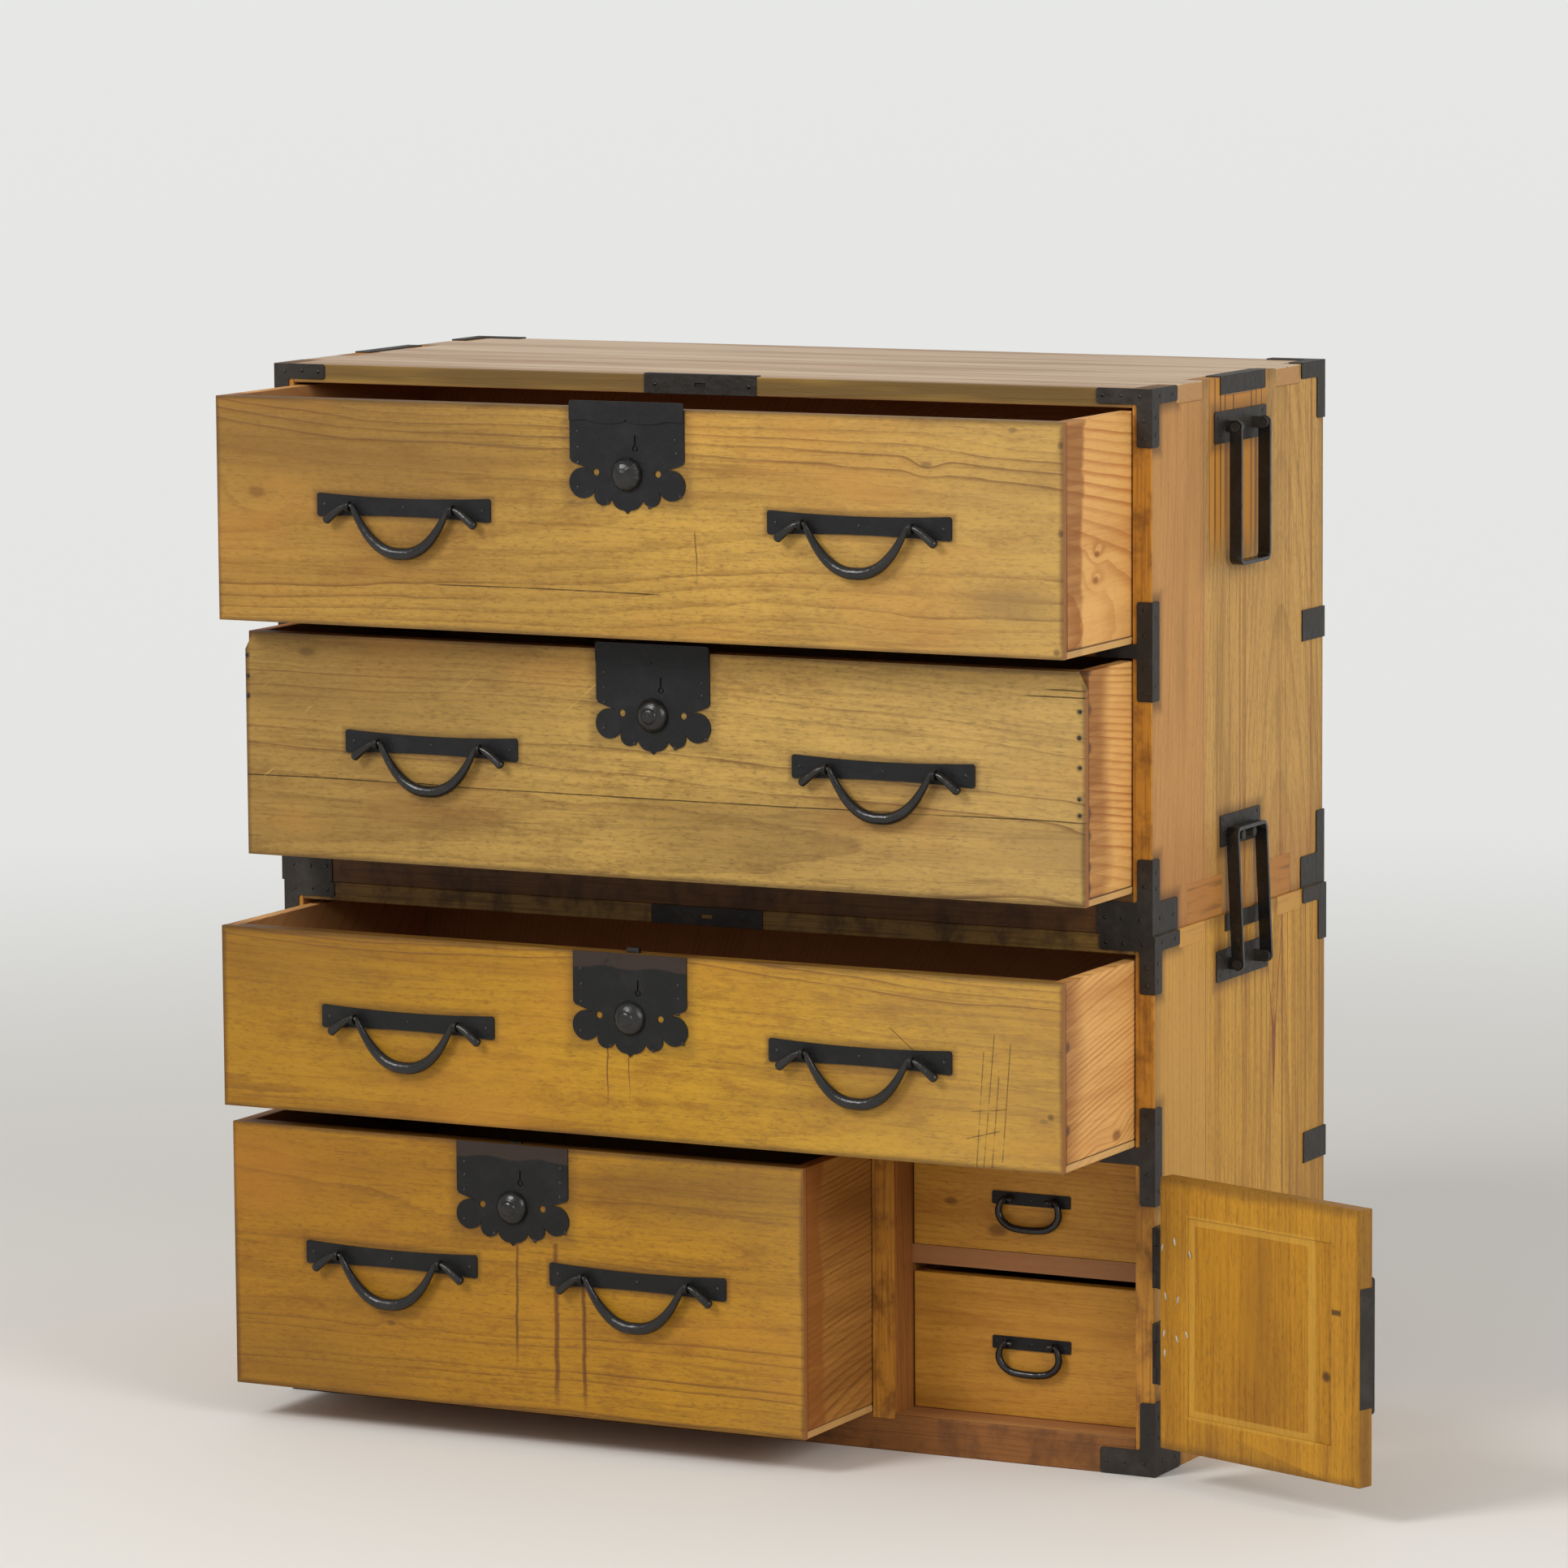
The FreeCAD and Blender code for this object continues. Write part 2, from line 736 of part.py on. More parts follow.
# Iron straps of the carcass.
def corner_strap(centre, sign, edge, inward, height, leg, leg_width):
    """A bracket round one front corner, with an arm and a leg on both faces."""
    outer = centre + sign * half_width
    skin = outer + sign * iron_sheet
    face = front_y - iron_sheet
    strap = fuse([
        block(skin, outer - sign * strap_arm, face, front_y, edge, edge + inward * height),
        block(skin, outer - sign * strap_leg_width, face, front_y, edge, edge + inward * leg),
        block(skin, outer, face, front_y + strap_arm, edge, edge + inward * height),
        block(skin, outer, face, front_y + leg_width, edge, edge + inward * leg)])
    return rounded(strap, sheet_corner)


def tee_strap(centre, sign, low, high):
    """A tee over the joint of a shelf and a side."""
    outer = centre + sign * half_width
    skin = outer + sign * iron_sheet
    face = front_y - iron_sheet
    middle = (low + high) / 2
    z0 = middle - tee_height / 2
    z1 = middle + tee_height / 2
    return rounded(fuse([
        block(skin, outer - sign * strap_arm, face, front_y, low, high),
        block(skin, outer - sign * strap_leg_width, face, front_y, z0, z1),
        block(skin, outer, face, front_y + strap_leg_width, z0, z1)]), sheet_corner)


def top_angle(centre, sign, top):
    """The part of a rear corner bracket that lies on the top board."""
    outer = centre + sign * (half_width + iron_sheet)
    rear = back_y + iron_sheet
    return [
        block(outer, outer - sign * strap_arm, rear - top_flange, rear, top, top + iron_sheet),
        block(outer, outer - sign * top_flange, rear - strap_arm, rear, top, top + iron_sheet)]


def rear_mid_plate(centre, sign, z0):
    """A flat plate round the rear edge of a side."""
    outer = centre + sign * half_width
    skin = outer + sign * iron_sheet
    rear = back_y + iron_sheet
    z1 = z0 + mid_plate_height
    return fuse([
        block(skin, outer, back_y - mid_plate_width, rear, z0, z1),
        block(skin, outer - sign * mid_plate_wrap, back_y, rear, z0, z1)])


def side_edge_plate(centre, sign, top, width, flange):
    """A plate over the top edge of a side, above the carrying handle."""
    outer = centre + sign * half_width
    skin = outer + sign * iron_sheet
    y0 = edge_plate_shift - width / 2
    y1 = edge_plate_shift + width / 2
    plate = block(skin, outer, y0, y1, top, top - edge_plate_height)
    if not flange:
        return plate
    return fuse([plate, block(skin, outer - sign * top_flange, y0, y1, top, top + iron_sheet)])


def side_plate(centre, sign, pivot_z):
    """The plate of a carrying handle, with two lugs and their riveted pins."""
    face = centre + sign * half_width
    pivot_x = face + sign * pivot_standoff
    half = side_plate_width / 2
    high = side_plate_height / 2
    plate = block(face, face + sign * iron_sheet, -half, half, pivot_z - high, pivot_z + high)
    shapes = [rounded(plate, sheet_corner)]
    arm_inside = side_handle_width / 2 - side_bar_thickness
    lug_outside = arm_inside - pivot_side_gap
    lug_inside = lug_outside - lug_thickness
    head = side_handle_width / 2 + pivot_side_gap
    for way in (-1, 1):
        shapes.append(block(
            face, pivot_x, way * lug_inside, way * lug_outside,
            pivot_z - lug_height / 2, pivot_z + lug_height / 2))
        rows = (
            (lug_height / 2, lug_inside, lug_outside),
            (pivot_pin_radius, lug_inside, head),
            (pivot_head_radius, head, head + pivot_head_length))
        for radius, near, far in rows:
            shapes.append(rod(radius, Vector(pivot_x, way * near, pivot_z), Vector(pivot_x, way * far, pivot_z)))
    return fuse(shapes)


def rounded_at_foot(shape, z, radius):
    """The same block with its two low edges across the bar rounded."""
    edges = []
    for edge in shape.Edges:
        low = abs(edge.CenterOfMass.z - z) < iron_sheet / 2
        if low and abs(edge.tangentAt(edge.FirstParameter).x) > 0.5:
            edges.append(edge)
    return shape.makeFillet(radius, edges)


def carrying_handle(centre, sign, pivot_z, angle):
    """A handle bent from flat bar, turned from hanging about its pins."""
    pivot_x = centre + sign * (half_width + pivot_standoff)
    wide = side_bar_width / 2
    half = side_handle_width / 2
    inside = half - side_bar_thickness
    foot = pivot_z - side_handle_length
    outer = rounded_at_foot(
        block(pivot_x - wide, pivot_x + wide, -half, half, foot, pivot_z), foot, side_bend_radius)
    hollow_foot = foot + side_bar_thickness
    hollow = rounded_at_foot(
        block(pivot_x - wide - overrun, pivot_x + wide + overrun, -inside, inside, hollow_foot, pivot_z + overrun),
        hollow_foot, side_bend_radius - side_bar_thickness)
    ends = [
        rod(wide, Vector(pivot_x, way * inside, pivot_z), Vector(pivot_x, way * half, pivot_z))
        for way in (-1, 1)]
    bore = rod(
        pivot_pin_radius + pivot_clearance,
        Vector(pivot_x, -half - overrun, pivot_z), Vector(pivot_x, half + overrun, pivot_z))
    handle = fuse([outer.cut(hollow)] + ends).cut(bore)
    handle.rotate(Vector(pivot_x, 0, pivot_z), Y_AXIS, angle)
    return handle


def catch_plate(sign):
    """The plate on the upper box that a raised handle leans on, with its studs."""
    face = upper_offset + sign * half_width
    half = catch_plate_width / 2
    stud_z = lower_pivot_z + side_handle_length - side_bar_thickness - stud_gap - stud_radius
    z0 = stud_z - catch_drop - stud_radius
    plate = block(face, face + sign * iron_sheet, -half, half, z0, z0 + catch_plate_height)
    shapes = [rounded(plate, sheet_corner)]
    for way in (-1, 1):
        y = way * stud_half_spacing
        shapes.append(rod(
            stud_radius, Vector(face, y, stud_z), Vector(face + sign * (iron_sheet + stud_length), y, stud_z)))
    return fuse(shapes)


def raised_lean(sign):
    """How far a raised lower handle leans in before it meets the catch plate."""
    room = pivot_standoff - side_bar_width / 2 - iron_sheet - sign * upper_offset - raised_gap
    return math.degrees(math.asin(room / side_handle_length))


def strike_plate(centre, low, high, flange):
    """A thin plate on a rail above a lock, with a slot hole."""
    half = strike_width / 2
    plates = [block(centre - half, centre + half, front_y - strike_thickness, front_y, low, high)]
    if flange:
        plates.append(block(
            centre - half, centre + half, front_y - strike_thickness, front_y + strike_top_flange,
            high, high + strike_thickness))
    middle = (low + high) / 2
    wide = strike_hole_width / 2
    tall = strike_hole_height / 2
    hole = block(
        centre - wide, centre + wide, front_y - overrun, front_y, middle - tall, middle + tall)
    return (fuse(plates) if flange else plates[0]).cut(hole)


# Cupboard door, drawn shut and then turned open.
def hinge_spans(z):
    """Heights of the lower, middle and upper knuckle of a hinge."""
    top = z + hinge_height
    return (
        (z, z + hinge_knuckle),
        (z + hinge_knuckle + hinge_knuckle_gap, top - hinge_knuckle - hinge_knuckle_gap),
        (top - hinge_knuckle, top))


def knuckle(z0, z1, radius):
    return rod(radius, Vector(hinge_x, hinge_y, z0), Vector(hinge_x, hinge_y, z1))


def carcass_hinge(z):
    """The leaf on the side of the box, with two knuckles and the pin."""
    low, middle, high = hinge_spans(z)
    skin = half_width + iron_sheet
    rear = front_y + hinge_carcass_leaf
    shapes = [block(half_width, skin, front_y + iron_sheet, rear, z, z + hinge_height)]
    for z0, z1 in (low, high):
        shapes.append(block(half_width, skin, hinge_y, front_y + 2 * iron_sheet, z0, z1))
        shapes.append(knuckle(z0, z1, hinge_radius))
    shapes.append(knuckle(z, z + hinge_height, hinge_pin_radius))
    return fuse(shapes)


def door_hinge(z):
    """The leaf across the face of the door, with the middle knuckle."""
    z0, z1 = hinge_spans(z)[1]
    face = front_y - iron_sheet
    leaf = block(door_right - hinge_door_leaf, door_right, face, front_y, z, z + hinge_height)
    reach = half_width - iron_sheet
    apron = block(door_right - overrun, reach, face - hinge_lift, front_y - hinge_lift, z, z + hinge_height)
    neck = block(door_right - overrun, hinge_x, face - hinge_lift, front_y - hinge_lift, z0, z1)
    body = fuse([leaf, apron, neck, knuckle(z0, z1, hinge_radius)])
    return body.cut(knuckle(z0 - overrun, z1 + overrun, hinge_pin_radius + hinge_pin_clearance))


def door_frame():
    """Two stiles and two rails, grooved for the panel, as loose pieces."""
    y0 = front_y
    y1 = front_y + door_thickness
    left = door_left + door_border
    right = door_right - door_border
    low = door_low + door_border
    high = door_high - door_border
    pieces = [
        block(door_left, left, y0, y1, door_low, door_high),
        block(right, door_right, y0, y1, door_low, door_high),
        block(left, right, y0, y1, door_low, low),
        block(left, right, y0, y1, high, door_high)]
    return Part.makeCompound([piece.cut(door_panel(0)) for piece in pieces])


def door_panel(gap):
    """The panel in its groove, smaller all round by a gap."""
    reach = door_border - door_groove + gap
    inner = front_y + door_thickness - door_panel_recess
    return block(
        door_left + reach, door_right - reach, inner - door_panel_thickness, inner,
        door_low + reach, door_high - reach)


def door_iron():
    """Lock case, edge plate and both door leaves."""
    x0 = door_left + lock_case_inset
    x1 = x0 + lock_case_width
    middle = (door_low + door_high) / 2
    z0 = middle - lock_case_height / 2
    z1 = middle + lock_case_height / 2
    case = block(x0, x1, front_y - lock_case_depth, front_y, z0, z1)
    rim = [edge for edge in case.Edges if edge.CenterOfMass.y < front_y - lock_case_depth / 4]
    case = case.makeFillet(lock_case_edge, rim)
    hole_z = middle
    hole_x = (x0 + x1) / 2
    outside = front_y - lock_case_depth
    keyhole = fuse([
        rod(keyhole_ring_radius, Vector(hole_x, outside - overrun, hole_z), Vector(hole_x, outside + overrun, hole_z)),
        block(
            hole_x - keyhole_slot_width / 2, hole_x + keyhole_slot_width / 2, outside - overrun, outside + overrun,
            hole_z, hole_z + keyhole_ring_drop - keyhole_top)])
    half = edge_plate_length / 2
    edge = block(
        door_left - edge_plate_sheet, door_left, front_y, front_y + door_thickness, middle - half, middle + half)
    return Part.makeCompound([case.cut(keyhole), edge, door_hinge(hinge_low_height), door_hinge(hinge_high_height)])


def turned_open(shape):
    """The same piece, swung with the door to the stored pose."""
    shape.rotate(Vector(hinge_x, hinge_y, 0), Z_AXIS, door_open_angle)
    return shape


# Build and save.
os.makedirs("parts", exist_ok=True)

drawers = (
    Drawer(
        "first", upper_offset - inner_half, upper_offset + inner_half, upper_shelf_top, upper_ceiling,
        first_top_gap, first_open, False),
    Drawer(
        "second", upper_offset - inner_half, upper_offset + inner_half, upper_base_top, upper_shelf_low,
        second_top_gap, second_open, False),
    Drawer("third", -inner_half, inner_half, lower_shelf_top, lower_ceiling, third_top_gap, third_open, False),
    Drawer("fourth", -inner_half, partition_left, lower_base, lower_shelf_low, fourth_top_gap, fourth_open, False),
    Drawer("upper_small", partition_right, inner_half, small_shelf_top, lower_shelf_low, small_top_gap, 0, True),
    Drawer("lower_small", partition_right, inner_half, lower_base, small_shelf_low, small_top_gap, 0, True))
first, second, third, fourth, upper_small, lower_small = drawers

save("upper_left_side", side_board(
    upper_offset, -1, lower_height, chest_height, upper_base, upper_shelf_low, upper_shelf_top))
save("upper_right_side", side_board(
    upper_offset, 1, lower_height, chest_height, upper_base, upper_shelf_low, upper_shelf_top))
save("upper_top_board", end_board(upper_offset, upper_ceiling, chest_height, top_finger_count, False).cut(
    bolt_mortise(first.middle, upper_ceiling)))
save("upper_base_board", end_board(upper_offset, lower_height, upper_base_top, base_finger_count, True))
save("upper_middle_shelf", shelf_board(upper_offset, upper_shelf_low, upper_shelf_top).cut(
    bolt_mortise(second.middle, upper_shelf_low)))
save("upper_back_panel", back_boards(upper_offset, upper_base_top - back_rabbet, upper_ceiling + back_rabbet))

shelf_front = front_y + small_setback
cupboard_shelf = block(
    partition_right - shelf_housing, inner_half + shelf_housing, shelf_front, panel_y, small_shelf_low, small_shelf_top)
partition_low = lower_base - partition_housing
partition_high = lower_shelf_low + partition_housing
partition = block(partition_left, partition_right, front_y, panel_y, partition_low, partition_high)
save("lower_left_side", side_board(0, -1, 0, lower_height, lower_base, lower_shelf_low, lower_shelf_top))
save("lower_right_side", side_board(
    0, 1, 0, lower_height, lower_base, lower_shelf_low, lower_shelf_top).cut(cupboard_shelf))
save("lower_top_board", end_board(0, lower_ceiling, lower_height, top_finger_count, False).cut(
    bolt_mortise(third.middle, lower_ceiling)))
save("lower_base_board", end_board(0, 0, lower_base, base_finger_count, True).cut(partition))
save("lower_middle_shelf", shelf_board(0, lower_shelf_low, lower_shelf_top).cut(
    bolt_mortise(fourth.middle, lower_shelf_low)).cut(partition))
save("lower_back_panel", back_boards(0, lower_base - back_rabbet, lower_ceiling + back_rabbet))
save("cupboard_partition", partition.cut(cupboard_shelf))
save("cupboard_shelf", cupboard_shelf)

for drawer in drawers:
    name = drawer.name + "_drawer"
    save(name + "_front", drawer.front_board(drawer is second))
    save(name + "_tray", drawer.tray())
    if drawer.small:
        place = (drawer.middle, drawer.face, drawer.handle_height())
        save(name + "_handle_plate", placed(small_handle_plate(), *place))
        save(name + "_bail", placed(small_bail(), *place))
        continue
    spread = narrow_handle_spread if drawer is fourth else wide_handle_spread
    lock_place = (drawer.middle, drawer.face, drawer.high)
    iron = [placed(lock_plate(), *lock_place), placed(key_pin(), *lock_place)]
    if drawer in (first, second):
        iron.append(placed(lock_cap(), *lock_place))
    for sign, hand in ((-1, "left"), (1, "right")):
        place = (drawer.middle + sign * spread, drawer.face, drawer.handle_height())
        iron.append(placed(handle_plate(), *place))
        save(name + "_" + hand + "_bail", placed(bail(), *place))
    save(name + "_ironwork", Part.makeCompound(iron))
    save(name + "_lock_knob", placed(faceted_knob() if drawer is first else stepped_knob(), *lock_place))
    save(name + "_lock_bolt", bolt(drawer))

upper_iron = []
lower_iron = []
for sign, hand in ((-1, "left"), (1, "right")):
    upper_rows = (
        (chest_height, -1, strap_top_height, strap_leg_drop),
        (lower_height, 1, upper_foot_height, upper_foot_leg))
    for edge, inward, height, leg in upper_rows:
        upper_iron.append(corner_strap(upper_offset, sign, edge, inward, height, leg, strap_leg_width))
        rear = mirrored_y(corner_strap(upper_offset, sign, edge, inward, height, leg, rear_leg_width))
        if edge == chest_height:
            rear = fuse([rear] + top_angle(upper_offset, sign, edge))
        upper_iron.append(rear)
    upper_iron.append(tee_strap(upper_offset, sign, upper_shelf_low, upper_shelf_top))
    upper_iron.append(rear_mid_plate(upper_offset, sign, lower_height + upper_mid_plate_rise - mid_plate_height / 2))
    upper_iron.append(side_edge_plate(upper_offset, sign, chest_height, upper_edge_plate, True))
    upper_iron.append(side_plate(upper_offset, sign, upper_pivot_z))
    upper_iron.append(catch_plate(sign))
    save("upper_" + hand + "_carrying_handle", carrying_handle(upper_offset, sign, upper_pivot_z, 0))
    lower_rows = (
        (lower_height, -1, strap_top_height, strap_leg_drop),
        (strap_floor_gap, 1, lower_foot_height, lower_foot_leg))
    for edge, inward, height, leg in lower_rows:
        lower_iron.append(corner_strap(0, sign, edge, inward, height, leg, strap_leg_width))
        lower_iron.append(mirrored_y(corner_strap(0, sign, edge, inward, height, leg, rear_leg_width)))
    lower_iron.append(tee_strap(0, sign, lower_shelf_low, lower_shelf_top))
    lower_iron.append(rear_mid_plate(0, sign, lower_mid_plate_rise - mid_plate_height / 2))
    lower_iron.append(side_edge_plate(0, sign, lower_height, lower_edge_plate, False))
    lower_iron.append(side_plate(0, sign, lower_pivot_z))
    turn = -sign * (180 + raised_lean(sign))
    save("lower_" + hand + "_carrying_handle", carrying_handle(0, sign, lower_pivot_z, turn))
for height in (hinge_low_height, hinge_high_height):
    lower_iron.append(carcass_hinge(height))
save("upper_ironwork", Part.makeCompound(upper_iron))
save("lower_ironwork", Part.makeCompound(lower_iron))
save("strike_plates", Part.makeCompound([
    strike_plate(first.middle, upper_ceiling, chest_height, True),
    strike_plate(second.middle, upper_shelf_low, upper_shelf_top, False),
    strike_plate(third.middle, lower_ceiling, lower_height, False),
    strike_plate(fourth.middle, lower_shelf_low, lower_shelf_top, False)]))

save("cupboard_door_frame", turned_open(door_frame()))
save("cupboard_door_panel", turned_open(door_panel(door_panel_gap)))
save("cupboard_door_ironwork", turned_open(door_iron()))
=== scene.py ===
# %% [markdown]
# # A stacked clothes chest with forged iron fittings
# The chest's boards, drawers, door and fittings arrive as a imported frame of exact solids.
# This notebook gives them wood and iron finishes, forges the drawer pulls as smooth bars,
# drives in the nails, and sets up a camera and soft light as in a plain studio.

# %% The frame
import bmesh
import bpy
import json
import math
import random
from mathutils import Matrix, Vector


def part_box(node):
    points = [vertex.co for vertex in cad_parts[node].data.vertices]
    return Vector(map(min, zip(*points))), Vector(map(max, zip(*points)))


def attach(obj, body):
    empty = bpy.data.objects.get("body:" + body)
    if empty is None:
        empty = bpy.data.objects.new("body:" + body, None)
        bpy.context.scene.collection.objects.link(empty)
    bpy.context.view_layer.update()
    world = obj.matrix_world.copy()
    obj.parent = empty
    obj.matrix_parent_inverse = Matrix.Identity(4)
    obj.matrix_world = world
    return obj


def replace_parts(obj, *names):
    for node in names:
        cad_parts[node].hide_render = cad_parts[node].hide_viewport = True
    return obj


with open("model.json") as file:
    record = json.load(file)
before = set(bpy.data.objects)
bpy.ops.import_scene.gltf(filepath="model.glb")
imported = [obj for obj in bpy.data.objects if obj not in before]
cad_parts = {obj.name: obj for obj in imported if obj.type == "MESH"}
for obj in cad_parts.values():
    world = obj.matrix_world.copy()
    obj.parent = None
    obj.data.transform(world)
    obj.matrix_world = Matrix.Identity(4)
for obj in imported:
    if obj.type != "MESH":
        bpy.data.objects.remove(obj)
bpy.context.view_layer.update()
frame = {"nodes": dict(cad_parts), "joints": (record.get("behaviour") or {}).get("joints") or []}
nodes = frame["nodes"]
scene = bpy.context.scene
scene.view_settings.view_transform = "Standard"

# %% [markdown]
# The camera stands eight metres off, a little above the chest and to its right, with a long
# lens. That keeps the two boxes nearly square while both a front and a side show. Its turn is
# written as three angles, because a photographer thinks of a tripod head in the same way.

# %% Camera
camera_place = Vector((3.5718, -6.9707, 1.6684))
camera_yaw = 0.476
camera_pitch = 0.1272
camera_roll = -0.0073
camera_lens = 168.62
camera_sensor = 36.0

ahead = Vector((
    -math.sin(camera_yaw) * math.cos(camera_pitch),
    math.cos(camera_yaw) * math.cos(camera_pitch),
    -math.sin(camera_pitch)))
level = Vector((math.cos(camera_yaw), math.sin(camera_yaw), 0))
upright = level.cross(ahead)
right = level * math.cos(camera_roll) + upright * math.sin(camera_roll)
up = upright * math.cos(camera_roll) - level * math.sin(camera_roll)
camera = bpy.data.objects.new("camera", bpy.data.cameras.new("camera"))
camera.data.lens = camera_lens
camera.data.sensor_width = camera_sensor
camera.data.clip_end = 200
camera.matrix_world = Matrix((right, up, -ahead)).transposed().to_4x4()
camera.location = camera_place
scene.collection.objects.link(camera)
scene.camera = camera

# %% [markdown]
# Light for old wood should be large and soft, so that grain and dents read without hard
# glare. One broad panel hangs in front to the left and throws the short shadows under the
# pulls, a second opens up the right side, and an even sky fills the open drawers. All stay
# at a level at which a colour shows about as it is written.

# %% Light
def panel_light(name, place, target, size, power):
    lamp = bpy.data.lights.new(name, "AREA")
    lamp.shape = "DISK"
    lamp.size = size
    lamp.energy = power
    holder = bpy.data.objects.new(name, lamp)
    holder.location = place
    holder.rotation_mode = "QUATERNION"
    holder.rotation_quaternion = (Vector(target) - Vector(place)).to_track_quat("-Z", "Y")
    scene.collection.objects.link(holder)


panel_light("front_panel", (-2.0, -4.6, 4.2), (0, 0, 0.5), 2.2, 185)
panel_light("right_panel", (4.6, -2.2, 2.6), (0.3, 0, 0.6), 2.6, 105)
sky_strength = 0.56
world = bpy.data.worlds.new("sky")
world.use_nodes = True
world.node_tree.nodes["Background"].inputs["Color"].default_value = (1, 1, 1, 1)
world.node_tree.nodes["Background"].inputs["Strength"].default_value = sky_strength
scene.world = world

# %% [markdown]
# Wood and iron finishes are written as sums of node values, so each one reads like a recipe:
# a pale ground, plus growth rings, plus pores, plus dirt near the iron. A small class wraps
# one output socket and turns Python's own signs into Math nodes.

# %% Writing finishes as sums
def linear(red, green, blue):
    """A colour named as it looks on a screen, from 0 to 255, as light values."""
    parts = []
    for value in (red, green, blue):
        value = value / 255
        parts.append(value / 12.92 if value <= 0.04045 else ((value + 0.055) / 1.055) ** 2.4)
    return (*parts, 1.0)


class Amount:
    """One output socket, used in sums."""

    def __init__(self, recipe, socket):
        self.recipe = recipe
        self.socket = socket

    def math(self, operation, *others):
        return self.recipe.node("Math", {"operation": operation}, (self, *others))

    def __add__(self, other):
        return self.math("ADD", other)

    __radd__ = __add__

    def __sub__(self, other):
        return self.math("SUBTRACT", other)

    def __rsub__(self, other):
        return self.recipe.node("Math", {"operation": "SUBTRACT"}, (other, self))

    def __mul__(self, other):
        return self.math("MULTIPLY", other)

    __rmul__ = __mul__

    def __truediv__(self, other):
        return self.math("DIVIDE", other)

    def __pow__(self, other):
        return self.math("POWER", other)

    def __abs__(self):
        return self.math("ABSOLUTE")

    def step(self, low, high):
        """0 below low, 1 above high and a smooth rise between, or a fall if low is above high."""
        inputs = {"Value": self, "From Min": low, "From Max": high}
        return self.recipe.node("MapRange", {"interpolation_type": "SMOOTHSTEP"}, inputs)


def depth_between(value, low, high):
    """Distance to the nearer of two ends, negative past them."""
    return abs(high - low) / 2 - abs(value - (low + high) / 2)


def depth_in(first, second, box):
    """Distance to the outline of a box of two coordinates, negative outside it."""
    return depth_between(first, *box[0]).math("MINIMUM", depth_between(second, *box[1]))


class Recipe:
    """The nodes of one finish."""

    def __init__(self, name):
        self.material = bpy.data.materials.new(name)
        self.material.use_nodes = True
        self.tree = self.material.node_tree
        self.shader = self.tree.nodes["Principled BSDF"]
        self.colour = None
        self.height = None
        self.place = self.node("TexCoord", out="Object")
        self.x, self.y, self.z = [self.node("SeparateXYZ", inputs=(self.place,), out=i) for i in range(3)]

    def node(self, kind, settings=None, inputs=(), out=0):
        made = self.tree.nodes.new("ShaderNode" + kind)
        for key, value in (settings or {}).items():
            setattr(made, key, value)
        pairs = inputs.items() if isinstance(inputs, dict) else enumerate(inputs)
        for key, value in pairs:
            if isinstance(value, Amount):
                self.tree.links.new(value.socket, made.inputs[key])
            elif value is not None:
                made.inputs[key].default_value = value
        return Amount(self, made.outputs[out])

    def vector(self, x, y, z):
        return self.node("CombineXYZ", inputs=(x, y, z))

    def noise(self, where, scale=1.0, detail=2.0, roughness=0.5):
        return self.node("TexNoise", inputs={
            "Vector": where, "Scale": scale, "Detail": detail, "Roughness": roughness})

    def mix(self, first, second, share):
        """The first colour with a share of the second laid over it."""
        return self.node("Mix", {"data_type": "RGBA"}, {0: share, 6: first, 7: second}, out=2)

    def coat(self, shade, share):
        """Lays a share of a colour over what the finish has so far."""
        self.colour = self.mix(self.colour, shade, share)

    def stain(self, mask, shade, share):
        """Lays a share of a colour over the places of a mask."""
        self.coat(shade, (mask * share).math("MINIMUM", 1.0))

    def far(self, where):
        """The length of a vector."""
        return self.node("VectorMath", {"operation": "LENGTH"}, (where,), out="Value")

    def near(self, first, second, box, reach):
        """1 inside a box of two coordinates, falling to 0 at a distance of reach from it."""
        return depth_in(first, second, box).step(-reach, 0)

    def finish(self, roughness, depth=0.0, **fixed):
        """Wires colour, roughness and height to the shader, with the height scaled to a depth."""
        fixed["Roughness"] = roughness
        fixed["Base Color"] = self.colour
        if depth:
            fixed["Normal"] = self.node(
                "Bump", inputs={"Strength": 1.0, "Distance": depth, "Height": self.height})
        for key, value in fixed.items():
            entry = self.shader.inputs[key.replace("_", " ")]
            if isinstance(value, Amount):
                self.tree.links.new(value.socket, entry)
            else:
                entry.default_value = value
        return self.material


def dress(material, *names):
    """Gives a finish to pieces of the frame."""
    for name in names:
        for slot in nodes[name].material_slots:
            slot.material = material


# %% [markdown]
# A plank shows the tree it was cut from. Its growth rings are cones round the heart of the
# trunk, so a board cut off-centre shows nested arches and one cut through the heart shows
# straight lines. The pattern below measures the distance from a heart line outside the board,
# lets that line wander, swells it round each knot and darkens the end of each year's growth.

